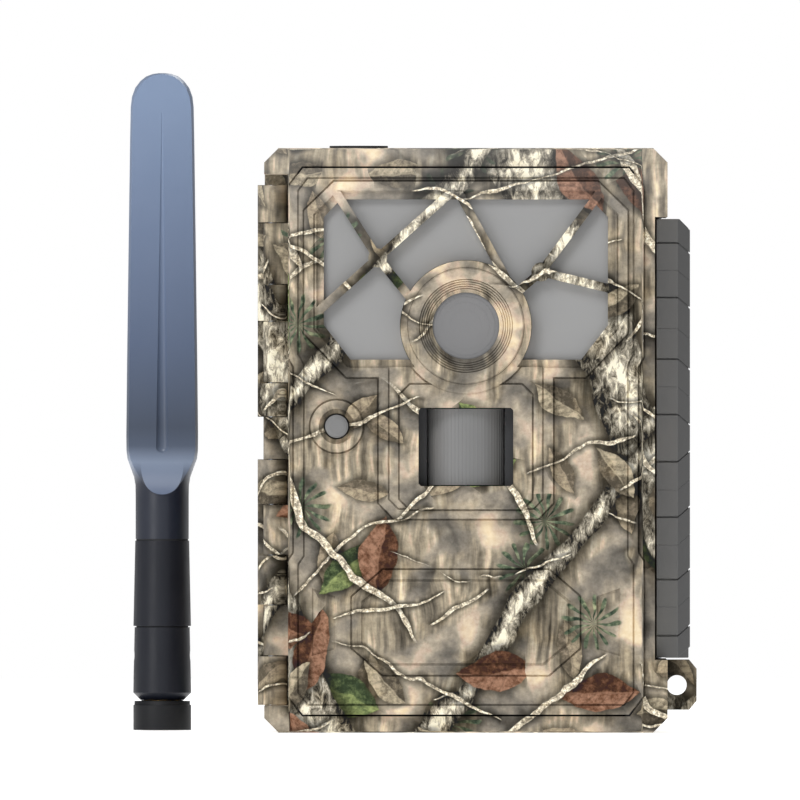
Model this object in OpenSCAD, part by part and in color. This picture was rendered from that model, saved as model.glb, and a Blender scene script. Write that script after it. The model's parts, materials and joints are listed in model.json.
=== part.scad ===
// Cellular trail camera with its paddle antenna unscrewed and standing beside it.
// Millimetres. The origin is the mouth of the tripod socket, the front faces -Y.

/* [Case] */
// Width across the corner ears
case_w = 98; // [94:1:120]
// Height from the base to the top
case_h = 142; // [138:1:175]
// Size of the cut across each outer corner
corner_cut = 3.5; // [2:0.5:5]
// Wall thickness of both shells
wall = 2.4; // [2:0.1:3]
// Depth of the rear housing
rear_depth = 32; // [30:1:40]
// Depth of the front cover up to its rim
front_depth = 32; // [30:1:40]
// Distance from the tripod axis to the parting face
split_gap = 12; // [10:0.5:14]
// Step from the rim to the raised panel, and from the panel to the mask
face_step = 2; // [1:0.25:3]
// Width of the rubber seal in the parting face
seal_w = 1.2; // [1:0.1:1.4]
// Width of the grooves round the raised faces
groove_w = 0.45; // [0.3:0.05:0.6]
// Depth of the grooves round the raised faces
groove_depth = 0.6; // [0.3:0.1:0.8]

/* [Hinge and latch] */
// Radius of the hinge and latch pins
pin_r = 1; // [0.8:0.1:1.2]
// Running clearance of the pins, on the radius
pin_gap = 0.06; // [0.03:0.01:0.09]
// Radius of the knuckles on the housing
knuckle_r = 3.6; // [3:0.1:3.6]
// Radius of the knuckles on the cover
cover_knuckle_r = 2.2; // [2:0.1:2.6]
// Height of the underside of the latch
latch_z0 = 18; // [17:0.5:30]
// Distance from the top of the latch to the top of the case
latch_drop = 17.1; // [15:0.5:30]
// Thickness of the latch's outer wall
latch_wall = 3; // [2:0.1:3.5]
// Clearance round the latch
latch_gap = 0.4; // [0.3:0.1:0.6]
// Radius of the padlock hole
lock_r = 2.45; // [2:0.05:3]

/* [Optics] */
// Distance from the lens axis to the top of the case
lens_drop = 43.2; // [42:0.1:50]
// Radius of the lens glass that shows
glass_r = 8.1; // [6:0.1:9]
// Outer radius of the lens bezel
bezel_r = 14.1; // [13:0.1:15]
// Radius of the boss round the bezel
boss_r = 16.4; // [15.5:0.1:17]
// Radius of the lens barrel
barrel_r = 6; // [5:0.1:7]
// Half width of the infrared window
window_hw = 34.5; // [32:0.5:36]
// Thickness of the infrared window
window_t = 2; // [1.5:0.1:2.5]
// Radius of one infrared lamp
lamp_r = 1.5; // [1:0.1:1.8]
// Half width of the motion sensor opening
pir_hw = 11.5; // [10:0.1:12]
// Height of the motion sensor opening
pir_h = 19; // [16:0.5:20]
// Outer radius of the curved motion sensor lens
pir_r = 10.4; // [9:0.1:11]
// Radius of the indicator window
indicator_r = 3.1; // [2:0.1:4]

/* [Power] */
// Radius of one AA cell
cell_r = 7.1; // [7:0.05:7.3]
// Length of one AA cell without its button
cell_l = 49.2; // [49:0.1:50]
// Distance between the axes of neighbouring cells
cell_pitch = 15.2; // [15:0.1:16]
// Wall thickness of the battery tray
tray_wall = 1.6; // [1.2:0.1:2]

/* [Ports and mounts] */
// Radius of the tripod thread, 1/4 inch
tripod_r = 3.2; // [3:0.05:3.4]
// Depth of the tripod insert
tripod_l = 9; // [7:0.5:10]
// Radius of the rubber cap over the antenna port
port_r = 7.1; // [6:0.1:8]
// Depth of the antenna port
port_depth = 9; // [8:0.5:10]
// Depth of the strap channel behind the case
strap_gap = 5; // [4.6:0.1:6]
// Width of the strap channel
strap_w = 51; // [30:1:60]

/* [Controls] */
// Travel of the keys
key_travel = 0.6; // [0.3:0.1:0.8]
// Radius of the keys
key_r = 3.5; // [3:0.1:4]
// Distance from the middle key to the others
key_pitch = 10.5; // [10:0.5:13]
// Clearance round the keys, on the radius
key_gap = 0.3; // [0.2:0.05:0.4]

/* [Antenna] */
// Distance from the case's side to the antenna's axis
antenna_gap = 25.2; // [19:0.2:46]
// Distance of the antenna behind the tripod axis
antenna_y = 17; // [16.5:0.5:30]
// Height of the antenna
antenna_h = 160.8; // [150:1:190]
// Half width of the blade at its widest
blade_hw = 8.8; // [8:0.1:10]
// Half thickness of the blade at its tip
blade_ht = 4.2; // [4:0.1:5]
// Radius of the antenna's neck
neck_r = 6.5; // [6:0.1:6.8]
// Radius of the joint at the antenna's foot
foot_r = 7.1; // [7:0.1:7.5]
// Height of the fold pin
fold_z = 18.2; // [17:0.1:20]

/* [Hidden] */
$fn = 64;
fit = 0.2;
half_w = case_w / 2;
antenna_x = half_w + antenna_gap;
split_y = -split_gap;
back_y = split_y + rear_depth;
rim_y = split_y - front_depth;
panel_y = rim_y - face_step;
mask_y = panel_y - face_step;
boss_y = mask_y - 1;
bezel_y = boss_y - 1;
inner_y = panel_y + wall;
groove_inset = 2.6;

// hinge column on the left, latch bay on the right
hinge_x = -half_w + 1.9;
hinge_side = hinge_x + knuckle_r + 0.3;
hinge_z0 = 6.4;
hinge_z1 = case_h - 6.3;
knuckle_steps = [0, 0.0929, 0.1888, 0.2831, 0.3782, 0.4633, 0.5437, 0.6079, 0.7239, 0.7935, 0.9095, 0.981];
knuckle_z = [for (s = knuckle_steps) hinge_z0 + s * (hinge_z1 - hinge_z0)];
knuckle_gap = 0.25;
rail_x = hinge_x - knuckle_r;
rail_y = split_y + knuckle_r + 0.2;
ear_relief = 4.5;
latch_z1 = case_h - latch_drop;
bay_z0 = latch_z0 - latch_gap;
bay_z1 = latch_z1 + latch_gap;
bay_x = half_w - 3.1;
side_x = half_w - 5.9;
latch_in = bay_x + 0.5;
latch_out = latch_in + 7.9;
latch_front = split_y - 10;
latch_hook = 5;
latch_barrel_r = 2.6;
latch_x = side_x + 3.8;
latch_y = 3;
latch_pin_l = 5;
inner_hw = side_x - wall;
lug_x = half_w + 7.3;
lug_z0 = 5.3;
lug_t = 4;
lock_x = half_w + 2.5;
lock_z = 11.3;

// face of the cover, set out from the lens axis
lens_z = case_h - lens_drop;
mask_hw = window_hw + 4.7;
mask_neck = 21.1;
pir_z = lens_z - 29.4;
pir_frame_hw = pir_hw + 4.5;
pir_frame_h = pir_h + 11.2;
indicator_x = -31.4;
indicator_z = lens_z - 24.4;
window_y = mask_y + 2.8;
plate_z = 26.8;
board_hw = inner_hw - 5;
ir_board_y = window_y + window_t + 4.7;
ir_board_t = 1.5;
sensor_board_y = ir_board_y + 11.7;
sensor_board_t = 1.2;
main_y = sensor_board_y + 2.8;
main_t = 1.6;
main_z0 = 12;
main_z1 = lens_z + 28;
port_x = -26.05;
port_y = split_y - 14;
port_floor = case_h - port_depth;
port_wall = 1.6;

// inner panel and controls
deck_t = 2.5;
deck_y = split_y - 0.5;
deck_in = deck_y - deck_t;
deck_screw_x = inner_hw - 4.6;
deck_screw_z = [8, case_h / 2 - 10, case_h - 8];
deck_boss_r = 3.2;
screw_r = 1.2;
pad_z = 62;
pad_places = [[0, 0], [0, 1], [0, -1], [1, 0], [-1, 0]];
display_z = lens_z + 1;
display_hw = 22;
display_hh = 15;
switch_x = -29;
switch_travel = 2.5;
card_x = 24;
card_w = 24;
card_l = 32;
card_t = 2.1;
card_z0 = 22;
card_y = main_y + main_t + 1;
sim_x = -24;
sim_z0 = 24;

insert_r = 4.8;
plug_lip = 1.4;
plug_lip_r = 6;
tube_r = glass_r + 2.2;
socket_r = 3.1;
ir_boss_x = inner_hw - 2.4;
ir_boss_r = 1.8;
ir_boss_z = [lens_z - 6, lens_z + 25];

// battery bay
cell_y = -1;
cell_step = cell_l + 6.2;
tray_z0 = 15;
tray_hw = 2 * cell_pitch + tray_wall;
tray_h = 2 * cell_step + 2 * tray_wall;
tray_z1 = tray_z0 + tray_h;
tray_front = cell_y - cell_r - 1;
tray_back = cell_y + cell_r + tray_wall;
tray_ear = 7;
tray_ear_y = 3;
tray_screw_z = [tray_z0 + 12, tray_z1 - 12];
tray_screw_x = tray_hw + tray_ear / 2;
jack_x = 26;
jack_y = 7;
jack_z = wall;
jack_hw = 4.6;

// antenna
blade_z0 = 67.7;
neck_z1 = 61.7;
neck_z0 = 46.8;
elbow_z0 = fold_z + 7.3;
elbow_z1 = neck_z0 - 0.4;
sleeve_h = 7.2;
knuckle_z0 = sleeve_h + 0.2;
knuckle_z1 = fold_z + 7;
tongue_t = 2.5;
tongue_hw = 4.2;
fold_pin_r = 1.2;
plug_r = 3;
spigot_r = 4.4;

camo = "#94897a";
rubber_black = "#1c1d1f";
board_green = "#23553b";
steel = "#b9bcc0";
brass = "#c9a24e";

// ---------- shared shapes ----------

// a prism with an outline in X and Z, between two depths
module slab(y0, y1) {
    translate([0, y1, 0]) rotate([90, 0, 0]) linear_extrude(y1 - y0) children();
}

// a round bar along Y
module bar_y(x, z, y0, y1, r) {
    translate([x, y1, z]) rotate([90, 0, 0]) cylinder(h = y1 - y0, r = r);
}

// a round bar along Z
module bar_z(x, y, z0, z1, r) {
    translate([x, y, z0]) cylinder(h = z1 - z0, r = r);
}

// a round bar along X
module bar_x(y, z, x0, x1, r) {
    translate([x0, y, z]) rotate([0, 90, 0]) cylinder(h = x1 - x0, r = r);
}

// a block between two corners
module block(low, high) {
    translate(low) cube(high - low);
}

// a rectangle with its corners cut, given by its half width and its bottom and top
module cut_rect(hw, z0, z1, cx, cz) {
    polygon([
        [-hw + cx, z0], [hw - cx, z0], [hw, z0 + cz], [hw, z1 - cz],
        [hw - cx, z1], [-hw + cx, z1], [-hw, z1 - cz], [-hw, z0 + cz]
    ]);
}

// a cross-head screw that points towards its tip along Y: dir is 1 for +Y
module screw(x, z, y, head_r, shank_r, shank_l, dir) {
    head_h = 1.4;
    translate([x, y, z]) rotate([dir > 0 ? -90 : 90, 0, 0]) difference() {
        union() {
            translate([0, 0, -head_h]) cylinder(h = head_h, r1 = head_r - 0.5, r2 = head_r);
            cylinder(h = shank_l, r = shank_r);
        }
        translate([-head_r * 0.55, -0.3, -head_h - 1]) cube([head_r * 1.1, 0.6, 1.8]);
        translate([-0.3, -head_r * 0.55, -head_h - 1]) cube([0.6, head_r * 1.1, 1.8]);
    }
}

// ---------- outlines ----------

module cover_outline() {
    polygon([
        [-half_w + corner_cut, 0], [half_w - corner_cut, 0], [half_w, corner_cut],
        [half_w, bay_z0], [bay_x, bay_z0], [bay_x, bay_z1], [half_w, bay_z1],
        [half_w, case_h - corner_cut], [half_w - corner_cut, case_h],
        [-half_w + corner_cut, case_h], [-half_w, case_h - corner_cut],
        [-half_w, hinge_z1], [hinge_side, hinge_z1], [hinge_side, hinge_z0],
        [-half_w, hinge_z0], [-half_w, corner_cut]
    ]);
}

module housing_outline() {
    polygon([
        [-half_w + corner_cut, 0], [half_w - corner_cut, 0], [half_w, corner_cut],
        [half_w, bay_z0], [side_x, bay_z0], [side_x, bay_z1], [half_w, bay_z1],
        [half_w, case_h - corner_cut], [half_w - corner_cut, case_h],
        [-half_w + corner_cut, case_h], [-half_w, case_h - corner_cut], [-half_w, corner_cut]
    ]);
}

module inner_outline(gap) {
    cut_rect(inner_hw - gap, wall + gap, case_h - wall - gap, corner_cut, corner_cut);
}

// mirrors a right-hand edge, listed from the bottom up, into a whole outline
function mirrored(right) = concat(right, [for (i = [len(right) - 1:-1:0]) [-right[i][0], right[i][1]]]);

// moves each edge of an outline outwards by g
function edge_normal(a, b) = [b[1] - a[1], a[0] - b[0]] / norm(b - a);
function grown(points, g) = [
    for (i = [0:len(points) - 1])
        let (
            n = len(points),
            before = edge_normal(points[(i + n - 1) % n], points[i]),
            after = edge_normal(points[i], points[(i + 1) % n])
        ) points[i] + (before + after) * g / (1 + before * after)
];

function panel_points() =
    let (low = [43.7, 41.6], high = [lens_z - 10, lens_z - 7.5], waist = side_x - 1.4)
    mirrored([
        [side_x - 3.5, 4.4], [side_x, 9], [side_x, low[1]], [waist, low[0]], [waist, high[0]],
        [side_x, high[1]], [side_x, case_h - 9.5], [side_x - 3.5, case_h - 4.9]
    ]);

function mask_points() =
    let (neck_z = pir_z - 13.6)
    mirrored([
        [mask_neck - 3.6, neck_z - 3.8], [mask_neck, neck_z], [mask_neck, lens_z - 12.4],
        [29, lens_z - 12.4], [mask_hw, lens_z - 1.8], [mask_hw, lens_z + 28],
        [mask_hw - 7.2, lens_z + 35]
    ]);

// a narrow groove round the foot of a raised outline
module foot_groove(points, face_y, edge) {
    slab(face_y - 0.01, face_y + groove_depth) difference() {
        polygon(grown(points, edge + groove_w));
        polygon(grown(points, edge));
    }
}

// infrared window outline, grown by a margin
module window_outline(grow) {
    right = [
        [window_hw - 6.5 + grow / 2, lens_z - 8.2 - grow], [window_hw + grow, lens_z + 0.2 - grow / 2],
        [window_hw + grow, lens_z + 26.4 + grow / 2], [window_hw - 4.1 + grow / 2, lens_z + 30.7 + grow]
    ];
    left = [for (i = [len(right) - 1:-1:0]) [-right[i][0], right[i][1]]];
    polygon(concat(right, left));
}

module plate_outline(inset) {
    cut_rect(27.6 - inset, plate_z - 12.7 + inset, plate_z + 12.7 - inset, 7.5 - inset / 2, 6.5 - inset / 2);
}

module side_trapezoid(side) {
    x0 = side * 31.8;
    x1 = side * 37.4;
    polygon([[x0, plate_z - 6.5], [x1, plate_z - 8.2], [x1, plate_z + 8.3], [x0, plate_z + 6.3]]);
}

module seal_outline(edge) {
    mid = wall / 2;
    m = mid + edge;
    cut_rect(inner_hw + m, wall - m, case_h - wall + m, corner_cut, corner_cut);
}

// ---------- rear half ----------

module housing_bosses() {
    for (x = [-tray_screw_x, tray_screw_x], z = tray_screw_z)
        bar_y(x, z, tray_ear_y + 2, back_y - wall / 2, 3.2);
    for (x = [-bracket_screw_x, bracket_screw_x], z = bracket_screw_z)
        bar_y(x, z, back_y - wall - 4, back_y - wall / 2, 3.2);
    bar_z(0, 0, wall / 2, tripod_l + 1.6, 8);
    block([latch_x - 4.6, latch_y - 4, bay_z0 - latch_pin_l - 1.4], [half_w - 1, latch_y + 4, bay_z0]);
    block([latch_x - 4.6, latch_y - 4, bay_z1], [half_w - 1, latch_y + 4, bay_z1 + latch_pin_l + 1.4]);
}

module case_knuckles() {
    for (i = [0:2:10]) {
        z0 = knuckle_z[i] + knuckle_gap / 2;
        z1 = knuckle_z[i + 1] - knuckle_gap / 2;
        bar_z(hinge_x, split_y, z0, z1, knuckle_r);
        block([rail_x, split_y, z0], [hinge_x + knuckle_r, rail_y + 1, z1]);
    }
}

module hinge_rail() {
    difference() {
        block([rail_x, rail_y, knuckle_z[0]], [hinge_side + 2, 2, knuckle_z[11]]);
        block([rail_x - 1, rail_y - 1, knuckle_z[5]], [rail_x + 1.4, 3, knuckle_z[6]]);
    }
}

module rear_housing() {
    color(camo) difference() {
        union() {
            difference() {
                slab(split_y, back_y) housing_outline();
                slab(split_y - 1, back_y - wall) inner_outline(0);
                block([-half_w + wall, rail_y + 5, 10], [-inner_hw + 1, back_y - wall, case_h - 10]);
                // room for the cover's knuckles
                block([-half_w - 1, split_y - 1, hinge_z0], [hinge_side, rail_y, hinge_z1]);
            }
            intersection() {
                housing_bosses();
                slab(split_y, back_y) housing_outline();
            }
            case_knuckles();
            hinge_rail();
            lock_lug(split_y, split_y + lug_t);
        }
        slab(split_y - 1, split_y + seal_w) difference() {
            seal_outline(seal_w / 2);
            seal_outline(-seal_w / 2);
        }
        bar_z(hinge_x, split_y, hinge_z0 - 1, hinge_z1 + 1, pin_r + 0.02);
        bar_z(latch_x, latch_y, bay_z0 - latch_pin_l, bay_z1 + latch_pin_l, pin_r + 0.02);
        bar_y(lock_x, lock_z, split_y - 1, split_y + lug_t + 1, lock_r);
        bar_z(0, 0, -1, tripod_l, insert_r);
        bar_z(jack_x, jack_y, -1, wall + 1, 3.4);
        bar_z(jack_x, jack_y, -1, plug_lip + 0.3, plug_lip_r + fit);
        for (x = [-tray_screw_x, tray_screw_x], z = tray_screw_z)
            bar_y(x, z, tray_ear_y + 1, tray_ear_y + 10, screw_r);
        for (x = [-bracket_screw_x, bracket_screw_x], z = bracket_screw_z)
            bar_y(x, z, back_y - wall - 3.4, back_y + 1, screw_r);
    }
}

// the eye that a padlock goes through, between two depths
module lock_lug(y0, y1) {
    slab(y0, y1) polygon([
        [half_w - 1, lug_z0], [lug_x - 1.8, lug_z0], [lug_x, lug_z0 + 2.2],
        [lug_x, bay_z0 - 2.3], [lug_x - 1.8, bay_z0 - 0.1], [half_w - 1, bay_z0 - 0.1]
    ]);
}

module hinge_pin() {
    color(steel) bar_z(hinge_x, split_y, knuckle_z[0], knuckle_z[11], pin_r);
}

module case_seal() {
    color(rubber_black) slab(split_y, split_y + seal_w) difference() {
        seal_outline(seal_w / 2 - 0.05);
        seal_outline(-seal_w / 2 + 0.05);
    }
}

function cell_places() = [
    for (row = [0, 1], i = [-1.5:1:1.5]) [i * cell_pitch, tray_z0 + tray_wall + row * cell_step, row]
];

module battery_tray() {
    color("#2a2b2d") difference() {
        union() {
            block([-tray_hw, tray_front, tray_z0], [tray_hw, tray_back, tray_z1]);
            for (z = tray_screw_z)
                block([-tray_hw - tray_ear, tray_ear_y, z - 5], [tray_hw + tray_ear, tray_ear_y + 2, z + 5]);
        }
        for (p = cell_places()) {
            z0 = p[1];
            z1 = z0 + cell_step - tray_wall / 2;
            bar_z(p[0], cell_y, z0, z1, cell_r + fit);
            block([p[0] - cell_r - fit, tray_front - 1, z0], [p[0] + cell_r + fit, cell_y, z1]);
        }
        for (x = [-tray_screw_x, tray_screw_x], z = tray_screw_z)
            bar_y(x, z, tray_ear_y - 1, tray_ear_y + 3, screw_r + fit);
    }
}

module tray_screws() {
    color(steel) for (x = [-tray_screw_x, tray_screw_x], z = tray_screw_z)
        screw(x, z, tray_ear_y, 2.4, screw_r - 0.02, 8, 1);
}

// flat contact plates stand at the button end, springs at the flat end
contact_t = 0.4;
spring_l = 3.4;
module battery_contacts() {
    color(steel) for (p = cell_places())
        block([p[0] - 5, cell_y - 5, p[1] + cell_step - tray_wall / 2 - contact_t],
              [p[0] + 5, cell_y + 5, p[1] + cell_step - tray_wall / 2]);
}

module battery_springs() {
    color(steel) for (p = cell_places()) translate([p[0], cell_y, p[1]]) {
        cylinder(h = contact_t, r = 5.4);
        for (i = [0:2]) translate([0, 0, contact_t + i * 0.95])
            rotate_extrude($fn = 32) translate([4.4 - i * 0.8, 0.5]) circle(r = 0.55, $fn = 16);
        translate([0, 0, contact_t]) cylinder(h = 2.2, r = 1.6);
    }
}

module battery_cells() {
    for (p = cell_places()) translate([p[0], cell_y, p[1] + spring_l]) {
        color("#30343a") cylinder(h = cell_l, r = cell_r);
        color(steel) translate([0, 0, cell_l - 0.1]) cylinder(h = 1.3, r = 2.6);
    }
}

module tripod_insert() {
    color(brass) difference() {
        bar_z(0, 0, 0, tripod_l, insert_r - 0.02);
        bar_z(0, 0, -1, tripod_l + 1, tripod_r);
    }
}

// arched plate that the strap passes behind
bracket_hw = 24;
bracket_t = 2.5;
bracket_z = case_h / 2;
bracket_foot = 8;
bracket_hh = strap_w / 2 + bracket_t + bracket_foot;
bracket_screw_x = bracket_hw - 8;
bracket_screw_z = [bracket_z - bracket_hh + bracket_foot / 2, bracket_z + bracket_hh - bracket_foot / 2];
module tree_bracket() {
    far = back_y + strap_gap + bracket_t;
    leg = bracket_hh - bracket_foot;
    color("#3b3c3a") difference() {
        union() {
            block([-bracket_hw, back_y, bracket_z - bracket_hh], [bracket_hw, back_y + bracket_t, bracket_z + bracket_hh]);
            block([-bracket_hw, back_y, bracket_z - leg], [bracket_hw, far, bracket_z + leg]);
        }
        block([-bracket_hw - 1, back_y - 1, bracket_z - strap_w / 2], [bracket_hw + 1, back_y + strap_gap, bracket_z + strap_w / 2]);
        // teeth that grip the bark
        for (side = [-1, 1]) for (i = [-4:4])
            translate([side * bracket_hw, far, bracket_z + i * 5.6]) rotate([0, 90, 0])
                cylinder(h = 12, r = 1.8, center = true, $fn = 4);
        for (x = [-bracket_screw_x, bracket_screw_x], z = bracket_screw_z)
            bar_y(x, z, back_y - 1, back_y + bracket_t + 1, screw_r + fit);
    }
}

module bracket_screws() {
    color(steel) for (x = [-bracket_screw_x, bracket_screw_x], z = bracket_screw_z)
        screw(x, z, back_y + bracket_t, 2.6, screw_r - 0.02, 7, -1);
}

module power_jack() {
    color(rubber_black) difference() {
        block([jack_x - jack_hw, jack_y - jack_hw, jack_z], [jack_x + jack_hw, jack_y + jack_hw, jack_z + 10]);
        bar_z(jack_x, jack_y, jack_z - 1, jack_z + 8, 2.8);
    }
}

module power_jack_plug() {
    color("#26272a") union() {
        bar_z(jack_x, jack_y, 0.3, plug_lip, plug_lip_r);
        bar_z(jack_x, jack_y, plug_lip - 0.1, jack_z + 6, 2.5);
    }
}

module latch_profile() {
    polygon([
        [latch_in, latch_front], [latch_out - 2.7, latch_front], [latch_out, latch_front + 2.7],
        [latch_out, latch_y + 1], [latch_out - 1.6, latch_y + latch_barrel_r],
        [latch_x, latch_y + latch_barrel_r], [latch_x, latch_y - latch_barrel_r],
        [latch_out - latch_wall, latch_y - latch_barrel_r],
        [latch_out - latch_wall, latch_front + latch_hook], [latch_in, latch_front + latch_hook]
    ]);
}

// grip blocks that stand out along the latch's bevelled edge
latch_grips = [0.947, 0.823, 0.683, 0.555, 0.447, 0.383, 0.321, 0.257, 0.179, 0.116, 0.051];
module latch() {
    h = latch_z1 - latch_z0;
    color("#6a6a6a") difference() {
        union() {
            translate([0, 0, latch_z0]) linear_extrude(h) latch_profile();
            bar_z(latch_x, latch_y, latch_z0, latch_z1, latch_barrel_r);
        }
        bar_z(latch_x, latch_y, latch_z0 - 1, latch_z1 + 1, pin_r + pin_gap);
        for (g = latch_grips) translate([0, 0, latch_z0 + g * h])
            block([latch_in - 1, latch_front - 1, -0.3], [latch_out + 1, latch_front + 0.5, 0.3]);
        // the lower inner corner and the upper corners are cut away
        translate([latch_in, 0, latch_z0]) rotate([0, 45, 0]) block([-1.6, latch_front - 1, -1.6], [1.6, -1, 1.6]);
        translate([latch_out, 0, latch_z1]) rotate([0, 45, 0]) block([-1.6, latch_front - 1, -1.6], [1.6, 8, 1.6]);
        translate([latch_in, 0, latch_z1]) rotate([0, 45, 0]) block([-1, latch_front - 1, -1], [1, -1, 1]);
    }
}

module latch_pin() {
    color(steel) bar_z(latch_x, latch_y, bay_z0 - latch_pin_l, bay_z1 + latch_pin_l, pin_r);
}

// ---------- front half ----------

module cover_knuckles() {
    for (i = [1:2:9]) {
        z0 = knuckle_z[i] + knuckle_gap / 2;
        z1 = knuckle_z[i + 1] - knuckle_gap / 2;
        bar_z(hinge_x, split_y, z0, z1, cover_knuckle_r);
        block([hinge_x, split_y - cover_knuckle_r, z0], [hinge_side + 1, split_y, z1]);
    }
}

// a rib across the infrared window, between two places given from the lens axis
module window_rib(a, b) {
    rib_w = 2.1;
    run = b - a;
    intersection() {
        translate([a[0], mask_y, lens_z + a[1]]) rotate([0, -atan2(run[1], run[0]), 0])
            translate([-0.8, 0, -rib_w / 2]) cube([norm(run) + 1.6, window_y - mask_y - 0.2, rib_w]);
        slab(mask_y, window_y) window_outline(2);
    }
}

module window_ribs() {
    left_fork = [-21.4, 16.5];
    right_fork = [18.2, 13.1];
    peak = [-2.4, 33.5];
    window_rib([-32, 33.2], left_fork);
    window_rib(left_fork, [-13.5, 6.8]);
    window_rib([-38, 1.6], left_fork);
    window_rib(left_fork, peak);
    window_rib(peak, [9.3, 12.4]);
    window_rib([33.2, 33.2], right_fork);
    window_rib(right_fork, [12.6, 8.3]);
    window_rib(right_fork, [38, 8.3]);
    // round hubs where the ribs cross
    for (f = [left_fork, right_fork])
        bar_y(f[0], lens_z + f[1], mask_y - 0.1, window_y - 0.3, 2.3);
}

module cover_skin() {
    difference() {
        union() {
            slab(rim_y, split_y) cover_outline();
            slab(panel_y, rim_y) polygon(panel_points());
            slab(mask_y, panel_y) polygon(mask_points());
            slab(mask_y - 0.6, panel_y) cut_rect_at(0, pir_z, pir_frame_hw, pir_frame_h / 2, 2.5);
            bar_y(0, lens_z, boss_y, panel_y, boss_r);
            bar_y(indicator_x, indicator_z, panel_y - 1.2, panel_y, indicator_r + 3.2);
            slab(panel_y - 0.5, panel_y) plate_outline(0);
        }
        slab(inner_y, split_y + 1) inner_outline(0);
        slab(panel_y - 1, panel_y - 0.1) difference() {
            plate_outline(2.2);
            plate_outline(2.8);
        }
        for (side = [-1, 1]) slab(panel_y - 1, panel_y + 0.6) side_trapezoid(side);
        // opening of the infrared window, open everywhere but behind the lens boss
        difference() {
            union() {
                slab(mask_y - 1, mask_y + 1.2) window_outline(1.8);
                slab(mask_y, inner_y + 1) window_outline(0);
            }
            bar_y(0, lens_z, boss_y - 1, inner_y + 2, boss_r - 0.5);
        }
        difference() {
            slab(window_y - 0.1, inner_y + 1) window_outline(1.2);
            bar_y(0, lens_z, boss_y - 1, inner_y + 2, boss_r - 0.5);
        }
        slab(mask_y - 2, inner_y + 1) cut_rect_at(0, pir_z, pir_hw, pir_h / 2, 0.6);
        // grooves round the raised faces
        foot_groove(panel_points(), rim_y, 0);
        foot_groove(panel_points(), panel_y, -groove_inset);
        foot_groove(mask_points(), panel_y, 0);
        foot_groove(mask_points(), mask_y, -groove_inset);
        slab(mask_y - 0.01, mask_y + groove_depth) difference() {
            cut_rect_at(0, pir_z, pir_frame_hw + groove_w, pir_frame_h / 2 + groove_w, 2.5 + groove_w / 2);
            cut_rect_at(0, pir_z, pir_frame_hw, pir_frame_h / 2, 2.5);
        }
        difference() {
            bar_y(0, lens_z, mask_y - 0.01, mask_y + groove_depth, boss_r + groove_w);
            bar_y(0, lens_z, mask_y - 1, mask_y + 1, boss_r);
        }
        difference() {
            bar_y(indicator_x, indicator_z, panel_y - 0.01, panel_y + groove_depth, indicator_r + 3.2 + groove_w);
            bar_y(indicator_x, indicator_z, panel_y - 1, panel_y + 1, indicator_r + 3.2);
        }
        slab(panel_y - 0.01, panel_y + groove_depth) difference() {
            plate_outline(-groove_w);
            plate_outline(0);
        }
        // relief that lets the ears swing past the housing
        for (z = [[-1, hinge_z0 + 0.1], [hinge_z1 - 0.1, case_h + 1]])
            block([-half_w - 1, split_y - ear_relief, z[0]], [hinge_side, split_y + 1, z[1]]);
    }
}

module cut_rect_at(x, z, hw, hh, c) {
    translate([x, 0]) cut_rect(hw, z - hh, z + hh, c, c);
}

module cover_bosses() {
    for (x = [-deck_screw_x, deck_screw_x], z = deck_screw_z)
        bar_y(x, z, inner_y - 0.5, deck_in - 0.05, deck_boss_r);
    for (x = [-ir_boss_x, ir_boss_x], z = ir_boss_z)
        bar_y(x, z, inner_y - 0.5, ir_board_y, ir_boss_r);
    bar_z(port_x, port_y, port_floor - port_wall, case_h - wall / 2, port_r + fit + port_wall);
}

module front_cover() {
    color(camo) difference() {
        union() {
            cover_skin();
            intersection() {
                cover_bosses();
                slab(panel_y, split_y) cover_outline();
            }
            window_ribs();
            cover_knuckles();
            lock_lug(split_y - lug_t, split_y);
        }
        bar_y(0, lens_z, bezel_y - 1, boss_y + 3.2, bezel_r + 0.1);
        bar_y(0, lens_z, boss_y, inner_y + 1, tube_r + 0.1);
        bar_y(indicator_x, indicator_z, panel_y - 2, panel_y + 1, indicator_r + 1.2);
        bar_y(indicator_x, indicator_z, panel_y - 2, inner_y + 1, indicator_r + 0.05);
        bar_z(hinge_x, split_y, hinge_z0 - 1, hinge_z1 + 1, pin_r + pin_gap);
        bar_y(lock_x, lock_z, split_y - lug_t - 1, split_y + 1, lock_r);
        bar_z(port_x, port_y, port_floor, case_h + 1, port_r + fit);
        bar_z(port_x, port_y, port_floor - port_wall - 1, case_h, socket_r + 0.05);
        for (x = [-deck_screw_x, deck_screw_x], z = deck_screw_z)
            bar_y(x, z, deck_in - 9, split_y, screw_r);
    }
}

module ir_window() {
    color("#868686", 0.7) difference() {
        slab(window_y, window_y + window_t) window_outline(1.1);
        bar_y(0, lens_z, window_y - 1, window_y + window_t + 1, boss_r - 0.4);
    }
}

// the funnel in front of the lens steps down in even rings
funnel_steps = 6;
funnel_r = 11.4;
funnel_back = bezel_y + 3;
module lens_bezel() {
    rise = (funnel_r - glass_r) / funnel_steps;
    run = (funnel_back - bezel_y - 0.5) / funnel_steps;
    color("#2b2c2e") difference() {
        union() {
            bar_y(0, lens_z, bezel_y, boss_y + 3.1, bezel_r);
            bar_y(0, lens_z, boss_y, inner_y + 1, tube_r);
        }
        bar_y(0, lens_z, bezel_y - 1, bezel_y + 0.5, funnel_r);
        for (i = [0:funnel_steps - 1])
            bar_y(0, lens_z, bezel_y, bezel_y + 0.5 + (i + 1) * run, funnel_r - (i + 0.5) * rise);
        bar_y(0, lens_z, bezel_y, funnel_back + 1, glass_r);
        bar_y(0, lens_z, funnel_back, inner_y + 2, glass_r + 0.9);
    }
}

module lens_glass() {
    color("#868686", 0.6) bar_y(0, lens_z, funnel_back, funnel_back + 1.5, glass_r + 0.85);
}

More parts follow.
